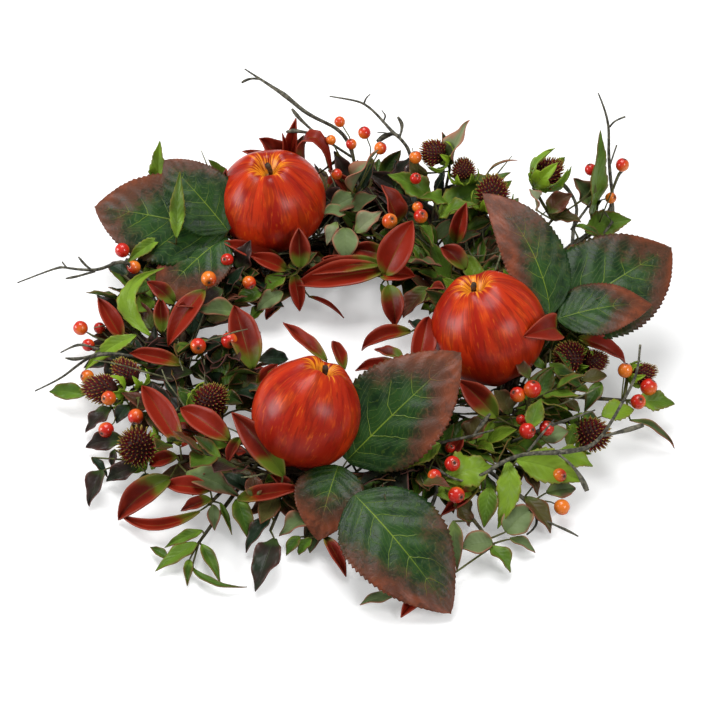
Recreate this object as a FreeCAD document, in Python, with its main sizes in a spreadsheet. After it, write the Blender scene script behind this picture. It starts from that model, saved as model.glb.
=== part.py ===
import FreeCAD, Part
import Sketcher
import math
import os
import random
from FreeCAD import Placement, Rotation, Vector

# Harvest door wreath: three apples, large rust-tipped leaves, sprays of small leaves, berries,
# spiny seed pods and bare twigs, wired onto a ring of vine.
# Frame: millimetres, +Z out of the wreath's face, the origin at the centre of the ring on the
# plane that the back of the vine rests on. Every place below is (x, y, z) in that frame.

doc = FreeCAD.newDocument("harvest_wreath")

DIMENSIONS = {
    "ring_radius": 110.0,          # middle of the vine ring
    "strand_diameter": 7.0,        # one vine strand
    "tie_radius": 8.4,             # a turn of wire round the three strands
    "tie_wire": 1.2,
    "tie_count": 8,
    "apple_diameter": 70.0,        # the back apple; the others are a share of it
    "apple_stem_diameter": 3.0,
    "apple_stem_length": 15.0,
    "pick_wire": 1.8,              # wire that carries an apple
    "leaf_thickness": 0.9,
    "big_leaf_thickness": 1.1,
    "stem_diameter": 3.0,
    "petiole_diameter": 1.5,
    "berry_diameter": 10.0,
    "berry_stem": 1.0,
    "pod_diameter": 20.0,
    "sepal_width": 7.0,
    "twig_diameter": 2.6,
}

sheet = doc.addObject("Spreadsheet::Sheet", "dims")
for line, (alias, number) in enumerate(DIMENSIONS.items(), start=1):
    sheet.set(f"A{line}", alias)
    sheet.set(f"B{line}", str(number))
    sheet.setAlias(f"B{line}", alias)
doc.recompute()


def dim(alias):
    return float(sheet.get(alias))


# ---------------------------------------------------------------- apples

# Half outline of an apple as shares of its radius: (out, up) at each joint, and a point on the
# way along each arc between two joints. The floors of the pit and of the heel are flat.
APPLE_JOINTS = [(0.0, -0.74), (0.05, -0.74), (0.34, -0.93), (0.99, 0.05), (0.44, 0.92),
                (0.05, 0.62), (0.0, 0.62)]
APPLE_WAYPOINTS = [None, (0.17, -0.87), (0.83, -0.60), (0.86, 0.67), (0.18, 0.82), None]

# name: centre, direction of the stem, size as a share of apple_diameter, and how much taller
# than the outline above it has grown
APPLES = {
    "apple_back_left": ((-50, 101, 55), (-0.08, -0.03, 1.0), 1.06, 0.98),
    "apple_right": ((92, -22, 52), (-0.30, 0.26, 0.92), 1.05, 1.06),
    "apple_front": ((-23, -94, 50), (0.36, 0.40, 0.84), 0.95, 1.12),
}
STEM_START = 0.50                  # share of the radius where the stem leaves the core
CARRIER_END = 0.64                 # share of the radius below the centre where its wire ends


def turned_to(direction):
    """Rotation that takes +Z to a direction."""
    return Rotation(Vector(0, 0, 1), Vector(*direction))


def pin_point(sketch, curve, end, out, up, size_word):
    """Fix one end of a curve at shares of a sheet size."""
    places = ((out, "DistanceX", -2), (up, "DistanceY", -1))
    for share, kind, axis in places:
        if share == 0.0:
            sketch.addConstraint(Sketcher.Constraint("PointOnObject", curve, end, axis))
            continue
        rule = Sketcher.Constraint(kind, -1, 1, curve, end, share * dim("apple_diameter") / 2)
        index = sketch.addConstraint(rule)
        sketch.setExpression(f"Constraints[{index}]", f"{size_word} * {share}")


def apple_body(name, centre, direction, size_share, tallness):
    body = doc.addObject("PartDesign::Body", name)
    plane = next(p for p in body.Origin.OriginFeatures if p.Role == "XZ_Plane")
    sketch = body.newObject("Sketcher::SketchObject", name + "_outline")
    sketch.AttachmentSupport = (plane, "")
    sketch.MapMode = "FlatFace"
    radius = dim("apple_diameter") * size_share / 2
    radius_word = f"dims.apple_diameter * {size_share} / 2"
    joints = [(out, round(up * tallness, 4)) for out, up in APPLE_JOINTS]
    corners = [Vector(out * radius, up * radius, 0) for out, up in joints]
    for index, waypoint in enumerate(APPLE_WAYPOINTS):
        first, last = corners[index], corners[index + 1]
        if waypoint is None:
            sketch.addGeometry(Part.LineSegment(first, last), False)
            ends = (1, 2)
        else:
            middle = Vector(waypoint[0] * radius, waypoint[1] * tallness * radius, 0)
            sketch.addGeometry(Part.Arc(first, middle, last), False)
            arc = sketch.Geometry[index]
            ends = (1, 2) if arc.StartPoint.isEqual(first, 1e-6) else (2, 1)
            rule = sketch.addConstraint(Sketcher.Constraint("Radius", index, arc.Radius))
            sketch.setExpression(f"Constraints[{rule}]", f"{radius_word} * {arc.Radius / radius:.6f}")
        for end, (out, up) in zip(ends, joints[index:index + 2]):
            pin_point(sketch, index, end, out, up, radius_word)
    axis_line = sketch.addGeometry(Part.LineSegment(corners[-1], corners[0]), False)
    for end, (out, up) in ((1, joints[-1]), (2, joints[0])):
        pin_point(sketch, axis_line, end, out, up, radius_word)
    turn = body.newObject("PartDesign::Revolution", name + "_turn")
    turn.Profile = sketch
    turn.ReferenceAxis = (sketch, ["V_Axis"])
    turn.Angle = 360
    body.Tip = turn
    sketch.Visibility = False
    body.Placement = Placement(Vector(*centre), turned_to(direction))
    body.Label = name
    return body


def group(name, members):
    """One node of separate solids."""
    holder = doc.addObject("Part::Compound", name)
    holder.Links = members
    holder.Label = name
    return holder


subparts = []
for name, row in APPLES.items():
    subparts.append(apple_body(name, *row))

apple_stems = []
for name, (centre, direction, size_share, tallness) in APPLES.items():
    stem = doc.addObject("Part::Cone", name + "_stem")
    stem.setExpression("Radius1", "dims.apple_stem_diameter * 0.4")
    stem.setExpression("Radius2", "dims.apple_stem_diameter * 0.6")
    stem.setExpression("Height", "dims.apple_stem_length")
    axis = Vector(*direction).normalize()
    start = Vector(*centre) + axis * (dim("apple_diameter") * size_share * tallness * STEM_START / 2)
    stem.Placement = Placement(start, turned_to(direction))
    apple_stems.append(stem)
subparts.append(group("apple_stems", apple_stems))

# ---------------------------------------------------------------- the vine ring

strand_step = dim("strand_diameter")
STRANDS = {"vine_strand_inner": (-0.55, 0.5), "vine_strand_outer": (0.55, 0.5),
           "vine_strand_top": (0.0, 1.42)}
for name, (out_share, up_share) in STRANDS.items():
    strand = doc.addObject("Part::Torus", name)
    strand.setExpression("Radius1", f"dims.ring_radius + dims.strand_diameter * {out_share}")
    strand.setExpression("Radius2", "dims.strand_diameter / 2")
    strand.Placement = Placement(Vector(0, 0, strand_step * up_share), Rotation())
    strand.Label = name
    subparts.append(strand)

ties = []
tie_count = int(dim("tie_count"))
tie_height = dim("tie_radius") + dim("tie_wire") / 2
for index in range(tie_count):
    turn_deg = 360.0 * index / tie_count + 22.5
    tie = doc.addObject("Part::Torus", f"tie_{index + 1}")
    tie.setExpression("Radius1", "dims.tie_radius")
    tie.setExpression("Radius2", "dims.tie_wire / 2")
    spot = Rotation(Vector(0, 0, 1), turn_deg).multVec(Vector(dim("ring_radius"), 0, tie_height))
    upright = Rotation(Vector(0, 0, 1), turn_deg) * Rotation(Vector(1, 0, 0), 90)
    tie.Placement = Placement(spot, upright)
    ties.append(tie)
subparts.append(group("binding_wires", ties))

# ---------------------------------------------------------------- shapes made in code


def framed(tangent, hint):
    """Unit normal square to a tangent, as near to a hint as it can be."""
    normal = hint - tangent * hint.dot(tangent)
    return normal.normalize()


TUBE_SIDES = 8
THIN_TUBE_SIDES = 5


def tube_solid(route, radii, sides=TUBE_SIDES):
    """Solid that follows a route of straight runs, its radius given at each point."""
    places = [Vector(*point) for point in route]
    rings = []
    hint = Vector(0.31, 0.22, 0.92)
    for index, place in enumerate(places):
        before = places[max(index - 1, 0)]
        after = places[min(index + 1, len(places) - 1)]
        tangent = (after - before).normalize()
        if abs(tangent.dot(hint)) > 0.98:
            hint = Vector(0.92, -0.31, 0.22)
        side = framed(tangent, hint)
        across = tangent.cross(side)
        hint = side
        corners = []
        for corner in range(sides + 1):
            angle = 2 * math.pi * (corner % sides) / sides
            corners.append(place + (side * math.cos(angle) + across * math.sin(angle)) * radii[index])
        rings.append(Part.makePolygon(corners))
    return outward(Part.makeLoft(rings, True, True))


def outward(solid):
    """The same solid with its faces pointing out."""
    if solid.Volume < 0:
        solid.reverse()
    return solid


# Half width of a leaf along its length, as (place, share of the half width), and how far the
# margins stand above the midrib, as a share of the width.
LEAF_FORMS = {
    "big": ([(0.0, 0.10), (0.10, 0.64), (0.26, 0.96), (0.47, 1.0), (0.70, 0.79), (0.87, 0.43),
             (1.0, 0.03)], 0.05),
    "red": ([(0.0, 0.14), (0.12, 0.56), (0.36, 0.86), (0.60, 0.88), (0.82, 0.54), (1.0, 0.03)], 0.20),
    "grey": ([(0.0, 0.12), (0.15, 0.62), (0.38, 0.92), (0.62, 0.78), (0.82, 0.42), (1.0, 0.04)], 0.12),
    "lime": ([(0.0, 0.12), (0.16, 0.64), (0.38, 1.0), (0.62, 0.80), (0.82, 0.42), (1.0, 0.04)], 0.10),
    "dark": ([(0.0, 0.12), (0.18, 0.58), (0.42, 0.88), (0.66, 0.70), (0.84, 0.38), (1.0, 0.04)], 0.14),
    "filler": ([(0.0, 0.12), (0.22, 0.74), (0.50, 0.94), (0.78, 0.58), (1.0, 0.04)], 0.12),
}


def leaf_sections(form, thickness, start, end, width, bow, roll, sway):
    """Left margin, midrib on top, right margin and midrib below: a point of each per section."""
    outline, gutter = LEAF_FORMS[form]
    along = (end - start).normalize()
    face = Rotation(along, roll).multVec(framed(along, Vector(0.02, 0.03, 1)))
    left = face.cross(along)
    sections = []
    for place, share in outline:
        lift = 4 * place * (1 - place)
        slope = 4 * (1 - 2 * place)
        spine = start + (end - start) * place + face * (bow * lift) + left * (sway * lift)
        tangent = ((end - start) + face * (bow * slope) + left * (sway * slope)).normalize()
        normal = framed(tangent, face)
        across = normal.cross(tangent) * (width * share / 2)
        rise = normal * (gutter * width * share)
        half_thick = normal * min(thickness / 2, 0.12 * width * share)
        sections.append((spine + across + rise, spine + half_thick,
                         spine - across + rise, spine - half_thick))
    return zip(*sections)


def leaf_strip(first, last):
    """Surface of straight rulings from one curve along the leaf to the next."""
    rows = [list(row) for row in zip(first.getPoles(), last.getPoles())]
    strip = Part.BSplineSurface()
    strip.buildFromPolesMultsKnots(rows, first.getMultiplicities(), [2, 2], first.getKnots(),
                                   [0.0, 1.0], False, False, first.Degree, 1)
    return strip.toShape()


def leaf_solid(form, thickness, base, tip, width, bow=0.0, roll=0.0, sway=0.0):
    """Thin closed blade from base to tip, folded along its midrib. It bows up in the middle,
    sways to its left and is rolled about its length from facing up."""
    points = list(leaf_sections(form, thickness, Vector(*base), Vector(*tip), width, bow, roll, sway))
    places = [place for place, _ in LEAF_FORMS[form][0]]
    curves = []
    for row in points:
        curve = Part.BSplineCurve()
        curve.interpolate(Points=list(row), Parameters=places)
        curves.append(curve)
    faces = [leaf_strip(first, last) for first, last in zip(curves, curves[1:] + curves[:1])]
    for end in (0, -1):
        corners = [row[end] for row in points]
        faces.append(Part.Face(Part.makePolygon(corners + corners[:1])))
    shell = Part.makeShell(faces)
    shell.sewShape()
    return outward(Part.makeSolid(shell))


def coded_part(name, solids):
    """A node whose solids are made by the functions above."""
    part = doc.addObject("Part::Feature", name)
    part.Shape = solids[0] if len(solids) == 1 else Part.makeCompound(solids)
    part.Placement = Placement()
    part.Label = name
    subparts.append(part)


# ---------------------------------------------------------------- stems

# Where each spray's stem ends. Every stem starts on the ring under its spray.
SPRAY_HEADS = {
    "stems_back": [(-44, 141, 40), (-27, 136, 44), (4, 112, 46), (3, 82, 40), (38, 94, 42),
                   (62, 108, 48), (72, 124, 64), (98, 110, 62), (76, 62, 42), (28, 48, 32),
                   (-34, 53, 30), (-54, 48, 24)],
    "stems_left": [(-84, 72, 42), (-114, 66, 46), (-118, 14, 26), (-92, 28, 36), (-140, -4, 18),
                   (-102, -30, 20), (-152, -48, 12), (-76, -70, 30), (-132, -98, 12),
                   (-60, -26, 26), (-148, 44, 38)],
    "stems_front": [(-102, -106, 18), (-68, -106, 28), (-38, -134, 26), (-82, -134, 12),
                    (-87, -158, 5), (-62, -140, 14), (-44, -152, 9), (-22, -157, 9),
                    (-4, -126, 28), (6, -146, 30), (56, -112, 30), (88, -136, 16),
                    (90, -165, 11), (104, -114, 26), (114, -132, 11), (-6, -60, 36)],
    "stems_right": [(134, -6, 46), (132, -30, 42), (150, -46, 32), (180, -54, 20),
                    (152, -78, 24), (114, -88, 34), (142, 94, 44), (174, 100, 28),
                    (160, 86, 34), (44, -44, 34), (48, -2, 34), (60, 32, 34)],
}
STEM_ROOT_HEIGHT = 9.0
MIDWAY = 0.55                      # share of the way out where a stem starts to rise
MIDWAY_RISE = 0.22


def ring_point(x, y):
    angle = math.atan2(y, x)
    radius = dim("ring_radius")
    return Vector(radius * math.cos(angle), radius * math.sin(angle), STEM_ROOT_HEIGHT)


def stem_route(head):
    root = ring_point(head[0], head[1])
    top = Vector(*head)
    middle = root + (top - root) * MIDWAY
    middle.z = root.z + (top.z - root.z) * MIDWAY_RISE
    return [root, middle, top]


def nearest_on_stems(point):
    """Closest place to a point on any spray stem."""
    best = None
    for heads in SPRAY_HEADS.values():
        for head in heads:
            route = stem_route(head)
            for first, last in zip(route, route[1:]):
                run = last - first
                share = (point - first).dot(run) / run.dot(run)
                place = first + run * min(max(share, 0.15), 1.0)
                if best is None or place.distanceToPoint(point) < best.distanceToPoint(point):
                    best = place
    return best


for name, heads in SPRAY_HEADS.items():
    radius = dim("stem_diameter") / 2
    coded_part(name, [tube_solid(stem_route(head), [radius, radius, 0.7 * radius])
                      for head in heads])

# ---------------------------------------------------------------- large leaves

# base, tip, width, bow, roll
BIG_LEAVES = {
    "big_leaf_left_upper": ((-81, 74, 50), (-173, 105, 46), 64, 6, -36),
    "big_leaf_left_back": ((-79, 73, 52), (-122, 108, 85), 46, 4, -20),
    "big_leaf_left_lower": ((-81, 73, 47), (-126, 37, 20), 50, 5, -12),
    "big_leaf_front_upright": ((2, -116, 32), (72, -63, 72), 68, 6, 24),
    "big_leaf_front_small": ((-3, -122, 34), (-15, -162, 12), 42, 5, 0),
    "big_leaf_front_low": ((7, -147, 36), (63, -211, 5), 62, 7, 10),
    "big_leaf_right_upright": ((131, -15, 58), (90, 61, 95), 40, 5, -15, -9),
    "big_leaf_right_back": ((138, -4, 42), (216, 47, 60), 70, 6, 20),
    "big_leaf_right_front": ((136, -19, 58), (197, -8, 60), 41, 5, 10),
}
for name, row in BIG_LEAVES.items():
    coded_part(name, [leaf_solid("big", dim("big_leaf_thickness"), *row)])

# ---------------------------------------------------------------- small leaves

# Each row is one leaf: base, tip, width, bow, roll and, for a curved one, sway.
RED_LEAVES = {
    "red_leaves_back": [
        ((-47, 138, 46), (-60, 142, 76), 27, 4, 0),
        ((-50, 138, 50), (-72, 143, 64), 14, 3, -10),
        ((-43, 139, 50), (-44, 141, 82), 7, 1, 0),
        ((-39, 140, 50), (-34, 150, 88), 11, 2, 0),
        ((-29, 136, 46), (-7, 128, 50), 17, 36, 0),
        ((-30, 50, 40), (-31, 65, 62), 16, 2, 0),
        ((35, 92, 42), (24, 103, 66), 24, 3, 0),
        ((-82, 102, 56), (-81, 105, 80), 9, 2, 0),
        ((6, 118, 40), (-12, 126, 62), 12, 3, -20),
    ],
    "red_leaves_hole_left": [
        ((-44, 64, 34), (-84, 69, 45), 14, 3, -35),
        ((-40, 55, 33), (-64, 61, 40), 13, 3, -30),
        ((-43, 40, 15), (-54, 32, 8), 9, 2, 0),
        ((-35, 55, 30), (-31, 38, 10), 12, 2, 0),
        ((26, 49, 38), (-33, 51, 22), 21, 5, -32),
        ((26, 51, 42), (-31, 53, 30), 14, 5, -20),
        ((-25, 49, 14), (0, 37, 6), 5, 3, 0),
        ((5, 55, 32), (-16, 61, 38), 12, 2, -30),
        ((-59, -36, 30), (-72, 9, 46), 23, 3, 0),
    ],
    "red_leaves_hole_right": [
        ((27, 45, 38), (45, 69, 64), 25, 5, 18),
        ((24, 46, 36), (47, 43, 38), 15, 3, 24),
        ((28, 61, 40), (3, 67, 40), 14, 3, -30),
        ((29, 34, 38), (33, 12, 20), 17, 4, 0),
        ((75, 66, 48), (81, 78, 74), 13, 6, 10),
        ((80, 42, 45), (64, 59, 50), 15, 3, -10),
        ((43, -7, 35), (11, -2, 13), 14, 6, -18),
        ((46, -52, 46), (55, -14, 58), 18, 4, 10),
        ((37, -40, 44), (20, -24, 34), 11, 2, -10),
        ((36, -46, 42), (8, -30, 22), 11, 3, -10),
        ((-11, -50, 52), (-39, -10, 43), 11, 4, -14),
        ((0, -52, 46), (-7, -22, 42), 10, 3, 0),
        ((56, 34, 34), (66, 24, 44), 9, 2, 0),
    ],
    "red_leaves_right": [
        ((134, -28, 58), (111, -47, 70), 20, 8, -40),
        ((150, -18, 40), (182, -21, 20), 14, 8, 24),
        ((95, -83, 35), (72, -62, 46), 18, 3, -26),
        ((82, -128, 22), (60, -141, 10), 10, 3, -20),
        ((133, 62, 30), (128, 84, 52), 12, 3, 0),
        ((137, 20, 26), (131, 40, 42), 12, 3, 0),
    ],
    "red_leaves_left": [
        ((-113, 23, 32), (-131, 33, 42), 13, 3, -20),
        ((-120, 4, 24), (-122, 23, 37), 12, 2, 0),
        ((-93, 27, 40), (-116, -3, 18), 18, 5, -8),
        ((-147, 2, 20), (-164, 27, 32), 14, 3, -10),
        ((-104, -27, 25), (-142, -11, 20), 12, 4, -28),
        ((-98, 20, 30), (-110, 12, 40), 9, 2, -10),
    ],
    "red_leaves_front_left": [
        ((-101, -98, 26), (-129, -46, 24), 18, 4, -8),
        ((-70, -101, 34), (-102, -74, 34), 18, 4, -22),
        ((-36, -130, 34), (-68, -93, 50), 19, 4, -18),
        ((-63, -101, 36), (-71, -113, 26), 10, 3, 0),
        ((-103, -102, 20), (-122, -102, 12), 11, 2, -25),
        ((-106, -120, 20), (-138, -139, 3), 19, 6, -14),
        ((-87, -142, 15), (-137, -135, 5), 9, 3, -20, 10),
        ((-81, -129, 20), (-111, -122, 18), 14, 3, -28),
        ((-80, -135, 18), (-98, -136, 8), 10, 3, -20),
        ((-64, -136, 20), (-23, -133, 26), 12, 4, 30),
    ],
    "red_leaves_front": [
        ((-11, -159, 12), (2, -183, 4), 9, 3, 0),
        ((50, -197, 8), (34, -212, 3), 10, 3, 0),
        ((-30, -132, 20), (-44, -126, 30), 9, 2, -10),
        ((66, -104, 24), (74, -96, 30), 9, 2, 10),
    ],
}

GREY_LEAVES = {
    "grey_leaves_back": [
        ((4, 113, 52), (23, 115, 87), 22, 3, 0),
        ((8, 112, 50), (-13, 101, 44), 17, 3, -24),
        ((4, 103, 45), (22, 106, 55), 14, 3, 24),
        ((-6, 89, 46), (-13, 74, 38), 10, 2, 0),
        ((7, 83, 42), (25, 95, 50), 16, 3, 18),
        ((0, 78, 50), (0, 59, 36), 20, 3, 0),
        ((72, 124, 68), (84, 130, 102), 18, 3, 0),
        ((70, 132, 64), (66, 137, 86), 10, 2, 0),
        ((128, 73, 70), (122, 74, 88), 14, 2, 0),
        ((-2, 100, 44), (-16, 92, 50), 13, 3, -10),
    ],
    "grey_leaves_front_right": [
        ((66, -152, 18), (68, -179, 4), 11, 3, 0),
        ((89, -166, 14), (70, -164, 7), 20, 3, -12),
        ((88, -167, 12), (100, -180, 4), 14, 4, 0),
        ((89, -129, 22), (85, -151, 10), 14, 3, 0),
        ((98, -154, 10), (115, -140, 16), 20, 3, 14),
        ((180, -71, 20), (210, -81, 4), 6, 6, 0),
        ((100, -158, 9), (116, -164, 3), 8, 2, 0),
    ],
    "grey_leaves_front_left": [
        ((-150, -106, 12), (-157, -128, 3), 14, 4, 0),
        ((-96, -117, 22), (-64, -131, 16), 17, 5, 14),
        ((-79, -136, 14), (-78, -149, 6), 9, 2, 0),
        ((-19, -147, 18), (-39, -156, 9), 15, 3, -10),
        ((31, -200, 8), (10, -203, 3), 9, 2, 0),
        ((-71, 15, 32), (-101, 19, 31), 15, 4, -28),
    ],
}

LIME_LEAVES = {
    "lime_leaves_back": [
        ((60, 108, 50), (29, 115, 66), 17, 5, -24),
        ((64, 88, 50), (88, 80, 68), 14, 5, 10),
        ((64, 97, 45), (114, 123, 62), 24, 4, 12),
        ((70, 100, 52), (50, 90, 66), 12, 4, -14),
        ((171, 109, 32), (167, 108, 112), 17, 4, -65, 3),
        ((166, 97, 31), (197, 101, 37), 19, 3, 24),
        ((156, 92, 40), (178, 88, 30), 5, 4, 0),
    ],
    "lime_leaves_right": [
        ((62, -127, 28), (91, -115, 27), 23, 4, 24),
        ((59, -106, 36), (36, -120, 28), 13, 5, -14),
        ((100, -115, 30), (92, -152, 10), 14, 6, 0, 4),
        ((106, -112, 28), (145, -118, 15), 21, 4, 18),
        ((131, -104, 26), (153, -108, 17), 15, 3, 14),
        ((115, -95, 38), (122, -78, 46), 11, 2, 0),
        ((186, -57, 22), (211, -53, 15), 14, 3, 20),
        ((162, -73, 26), (183, -64, 21), 15, 3, 18),
        ((144, -80, 26), (140, -95, 17), 9, 3, 0),
        ((56, -132, 20), (84, -128, 18), 15, 3, 20),
    ],
    "lime_leaves_left": [
        ((-130, 126, 46), (-127, 133, 82), 12, 2, 0),
        ((-113, 64, 54), (-110, 91, 88), 10, 3, 0),
        ((-125, 72, 46), (-148, 60, 34), 9, 3, -18),
        ((-128, 1, 24), (-120, 42, 46), 12, 3, 0, 20),
        ((-137, 0, 25), (-169, -19, 12), 11, 5, -10),
    ],
}

GREEN_LEAVES = {
    "green_leaves_hole": [
        ((-56, 42, 25), (-75, 34, 22), 14, 3, -24),
        ((-42, 41, 25), (-60, 33, 15), 15, 3, -20),
        ((-41, 53, 30), (-56, 42, 20), 16, 3, -14),
        ((-55, 38, 15), (-64, 30, 8), 10, 2, 0),
        ((-5, 56, 30), (-21, 63, 32), 9, 2, -24),
        ((24, 44, 30), (32, 26, 16), 9, 3, 0),
        ((52, 92, 40), (60, 66, 44), 10, 4, 0),
    ],
    "green_leaves_right": [
        ((116, -60, 46), (106, -48, 53), 10, 2, -10),
        ((130, -43, 42), (153, -56, 29), 12, 3, 24),
        ((163, -50, 32), (151, -67, 22), 12, 3, -10),
        ((151, -50, 34), (168, -42, 30), 12, 3, 18),
        ((148, -70, 27), (135, -65, 33), 8, 2, -14),
        ((149, -73, 27), (160, -74, 22), 8, 2, 18),
        ((128, -42, 36), (112, -36, 44), 8, 2, -14),
        ((144, -44, 36), (133, -34, 46), 7, 2, 0),
    ],
    "green_leaves_front_left": [
        ((-167, -42, 13), (-193, -35, 8), 14, 3, -28),
        ((-71, -102, 30), (-93, -99, 25), 9, 3, -24),
        ((-65, -135, 18), (-56, -158, 6), 15, 5, 0),
        ((-75, -134, 14), (-67, -152, 5), 5, 2, 0),
        ((-26, -158, 11), (-34, -167, 4), 9, 2, 0),
        ((-19, -160, 11), (-27, -167, 4), 9, 2, 0),
        ((-85, -152, 9), (-108, -161, 4), 9, 2, -14),
        ((-88, -160, 7), (-111, -179, 3), 14, 2, 0),
        ((-105, -170, 5), (-116, -161, 4), 7, 1, 0),
        ((-85, -161, 7), (-72, -187, 3), 10, 2, 0),
        ((-92, -171, 5), (-92, -189, 3), 7, 2, 0),
        ((-90, -177, 5), (-57, -191, 3), 6, 2, 0, -6),
    ],
}

DARK_LEAVES = {
    "dark_leaves_back": [
        ((-36, 140, 46), (-29, 149, 74), 17, 3, 0),
        ((-44, 140, 46), (-48, 146, 68), 12, 2, 0),
        ((-71, 56, 30), (-63, 65, 50), 18, 2, 0),
        ((96, 112, 68), (116, 104, 88), 5, 4, 0),
        ((169, 107, 44), (157, 117, 62), 18, 3, 0),
        ((139, 94, 50), (155, 101, 61), 17, 3, 14),
        ((140, 97, 44), (162, 91, 45), 15, 3, 18),
        ((34, 124, 48), (46, 134, 66), 16, 3, 0),
        ((52, 116, 50), (44, 130, 70), 15, 3, 0),
        ((0, 124, 50), (-8, 136, 70), 14, 3, 0),
        ((12, 124, 46), (20, 134, 62), 13, 3, 0),
        ((108, 84, 44), (118, 98, 60), 16, 3, 0),
        ((150, 74, 30), (168, 70, 34), 14, 3, 14),
    ],
    "dark_leaves_left": [
        ((-81, 30, 38), (-94, 23, 32), 14, 2, -18),
        ((-98, -31, 22), (-128, -28, 13), 14, 3, -24),
        ((-149, -55, 14), (-164, -68, 5), 15, 3, 0),
        ((-137, -55, 16), (-145, -65, 10), 12, 3, 0),
        ((-138, -82, 13), (-164, -81, 5), 15, 3, -18),
        ((-144, -89, 12), (-145, -100, 6), 6, 2, 0),
        ((-158, -93, 9), (-147, -105, 4), 7, 2, 0),
        ((-128, -104, 12), (-147, -109, 5), 15, 3, -10),
        ((-122, -108, 11), (-124, -122, 5), 10, 3, 0),
        ((-120, 66, 34), (-140, 78, 30), 15, 3, -10),
        ((-146, 46, 36), (-160, 58, 34), 13, 3, -14),
        ((-132, -8, 14), (-150, 8, 12), 13, 3, -10),
    ],
    "dark_leaves_front": [
        ((68, -135, 18), (76, -147, 7), 16, 3, 0),
        ((124, -126, 14), (144, -119, 10), 14, 3, 24),
        ((111, -130, 14), (127, -150, 4), 17, 4, 0),
        ((111, -113, 20), (119, -127, 12), 11, 3, 0),
        ((-54, -137, 22), (-54, -125, 32), 13, 2, 0),
        ((-57, -131, 22), (-74, -120, 24), 14, 3, -14),
        ((-44, -144, 14), (-59, -165, 4), 13, 4, 0),
        ((-41, -159, 10), (-51, -194, 4), 20, 5, 0),
        ((52, -6, 34), (44, 14, 24), 15, 3, 0),
        ((55, 34, 36), (40, 22, 20), 18, 3, 0),
        ((-56, -20, 22), (-36, -12, 15), 14, 3, 24),
        ((76, -92, 24), (90, -84, 34), 18, 3, 0),
        ((104, -74, 28), (94, -62, 38), 18, 3, 0),
        ((124, -92, 24), (140, -88, 28), 16, 3, 14),
    ],
}

for family, form in ((RED_LEAVES, "red"), (GREY_LEAVES, "grey"), (LIME_LEAVES, "lime"),
                     (GREEN_LEAVES, "grey"), (DARK_LEAVES, "dark")):
    for name, rows in family.items():
        coded_part(name, [leaf_solid(form, dim("leaf_thickness"), *row) for row in rows])

# A short stalk joins each leaf of a spray to the nearest stem.
stalks = []
for family in ({"all": list(BIG_LEAVES.values())}, RED_LEAVES, GREY_LEAVES, LIME_LEAVES,
               GREEN_LEAVES, DARK_LEAVES):
    for rows in family.values():
        for row in rows:
            base = Vector(*row[0])
            joint = nearest_on_stems(base)
            reach = base.distanceToPoint(joint)
            if reach > dim("stem_diameter"):
                inside_leaf = base + (Vector(*row[1]) - base).normalize() * 2.0
                radius = dim("petiole_diameter") / 2
                stalks.append(tube_solid([joint, base, inside_leaf], [radius, 0.8 * radius, 0.5 * radius]))
coded_part("leaf_stalks", stalks)

# ---------------------------------------------------------------- berries

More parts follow.
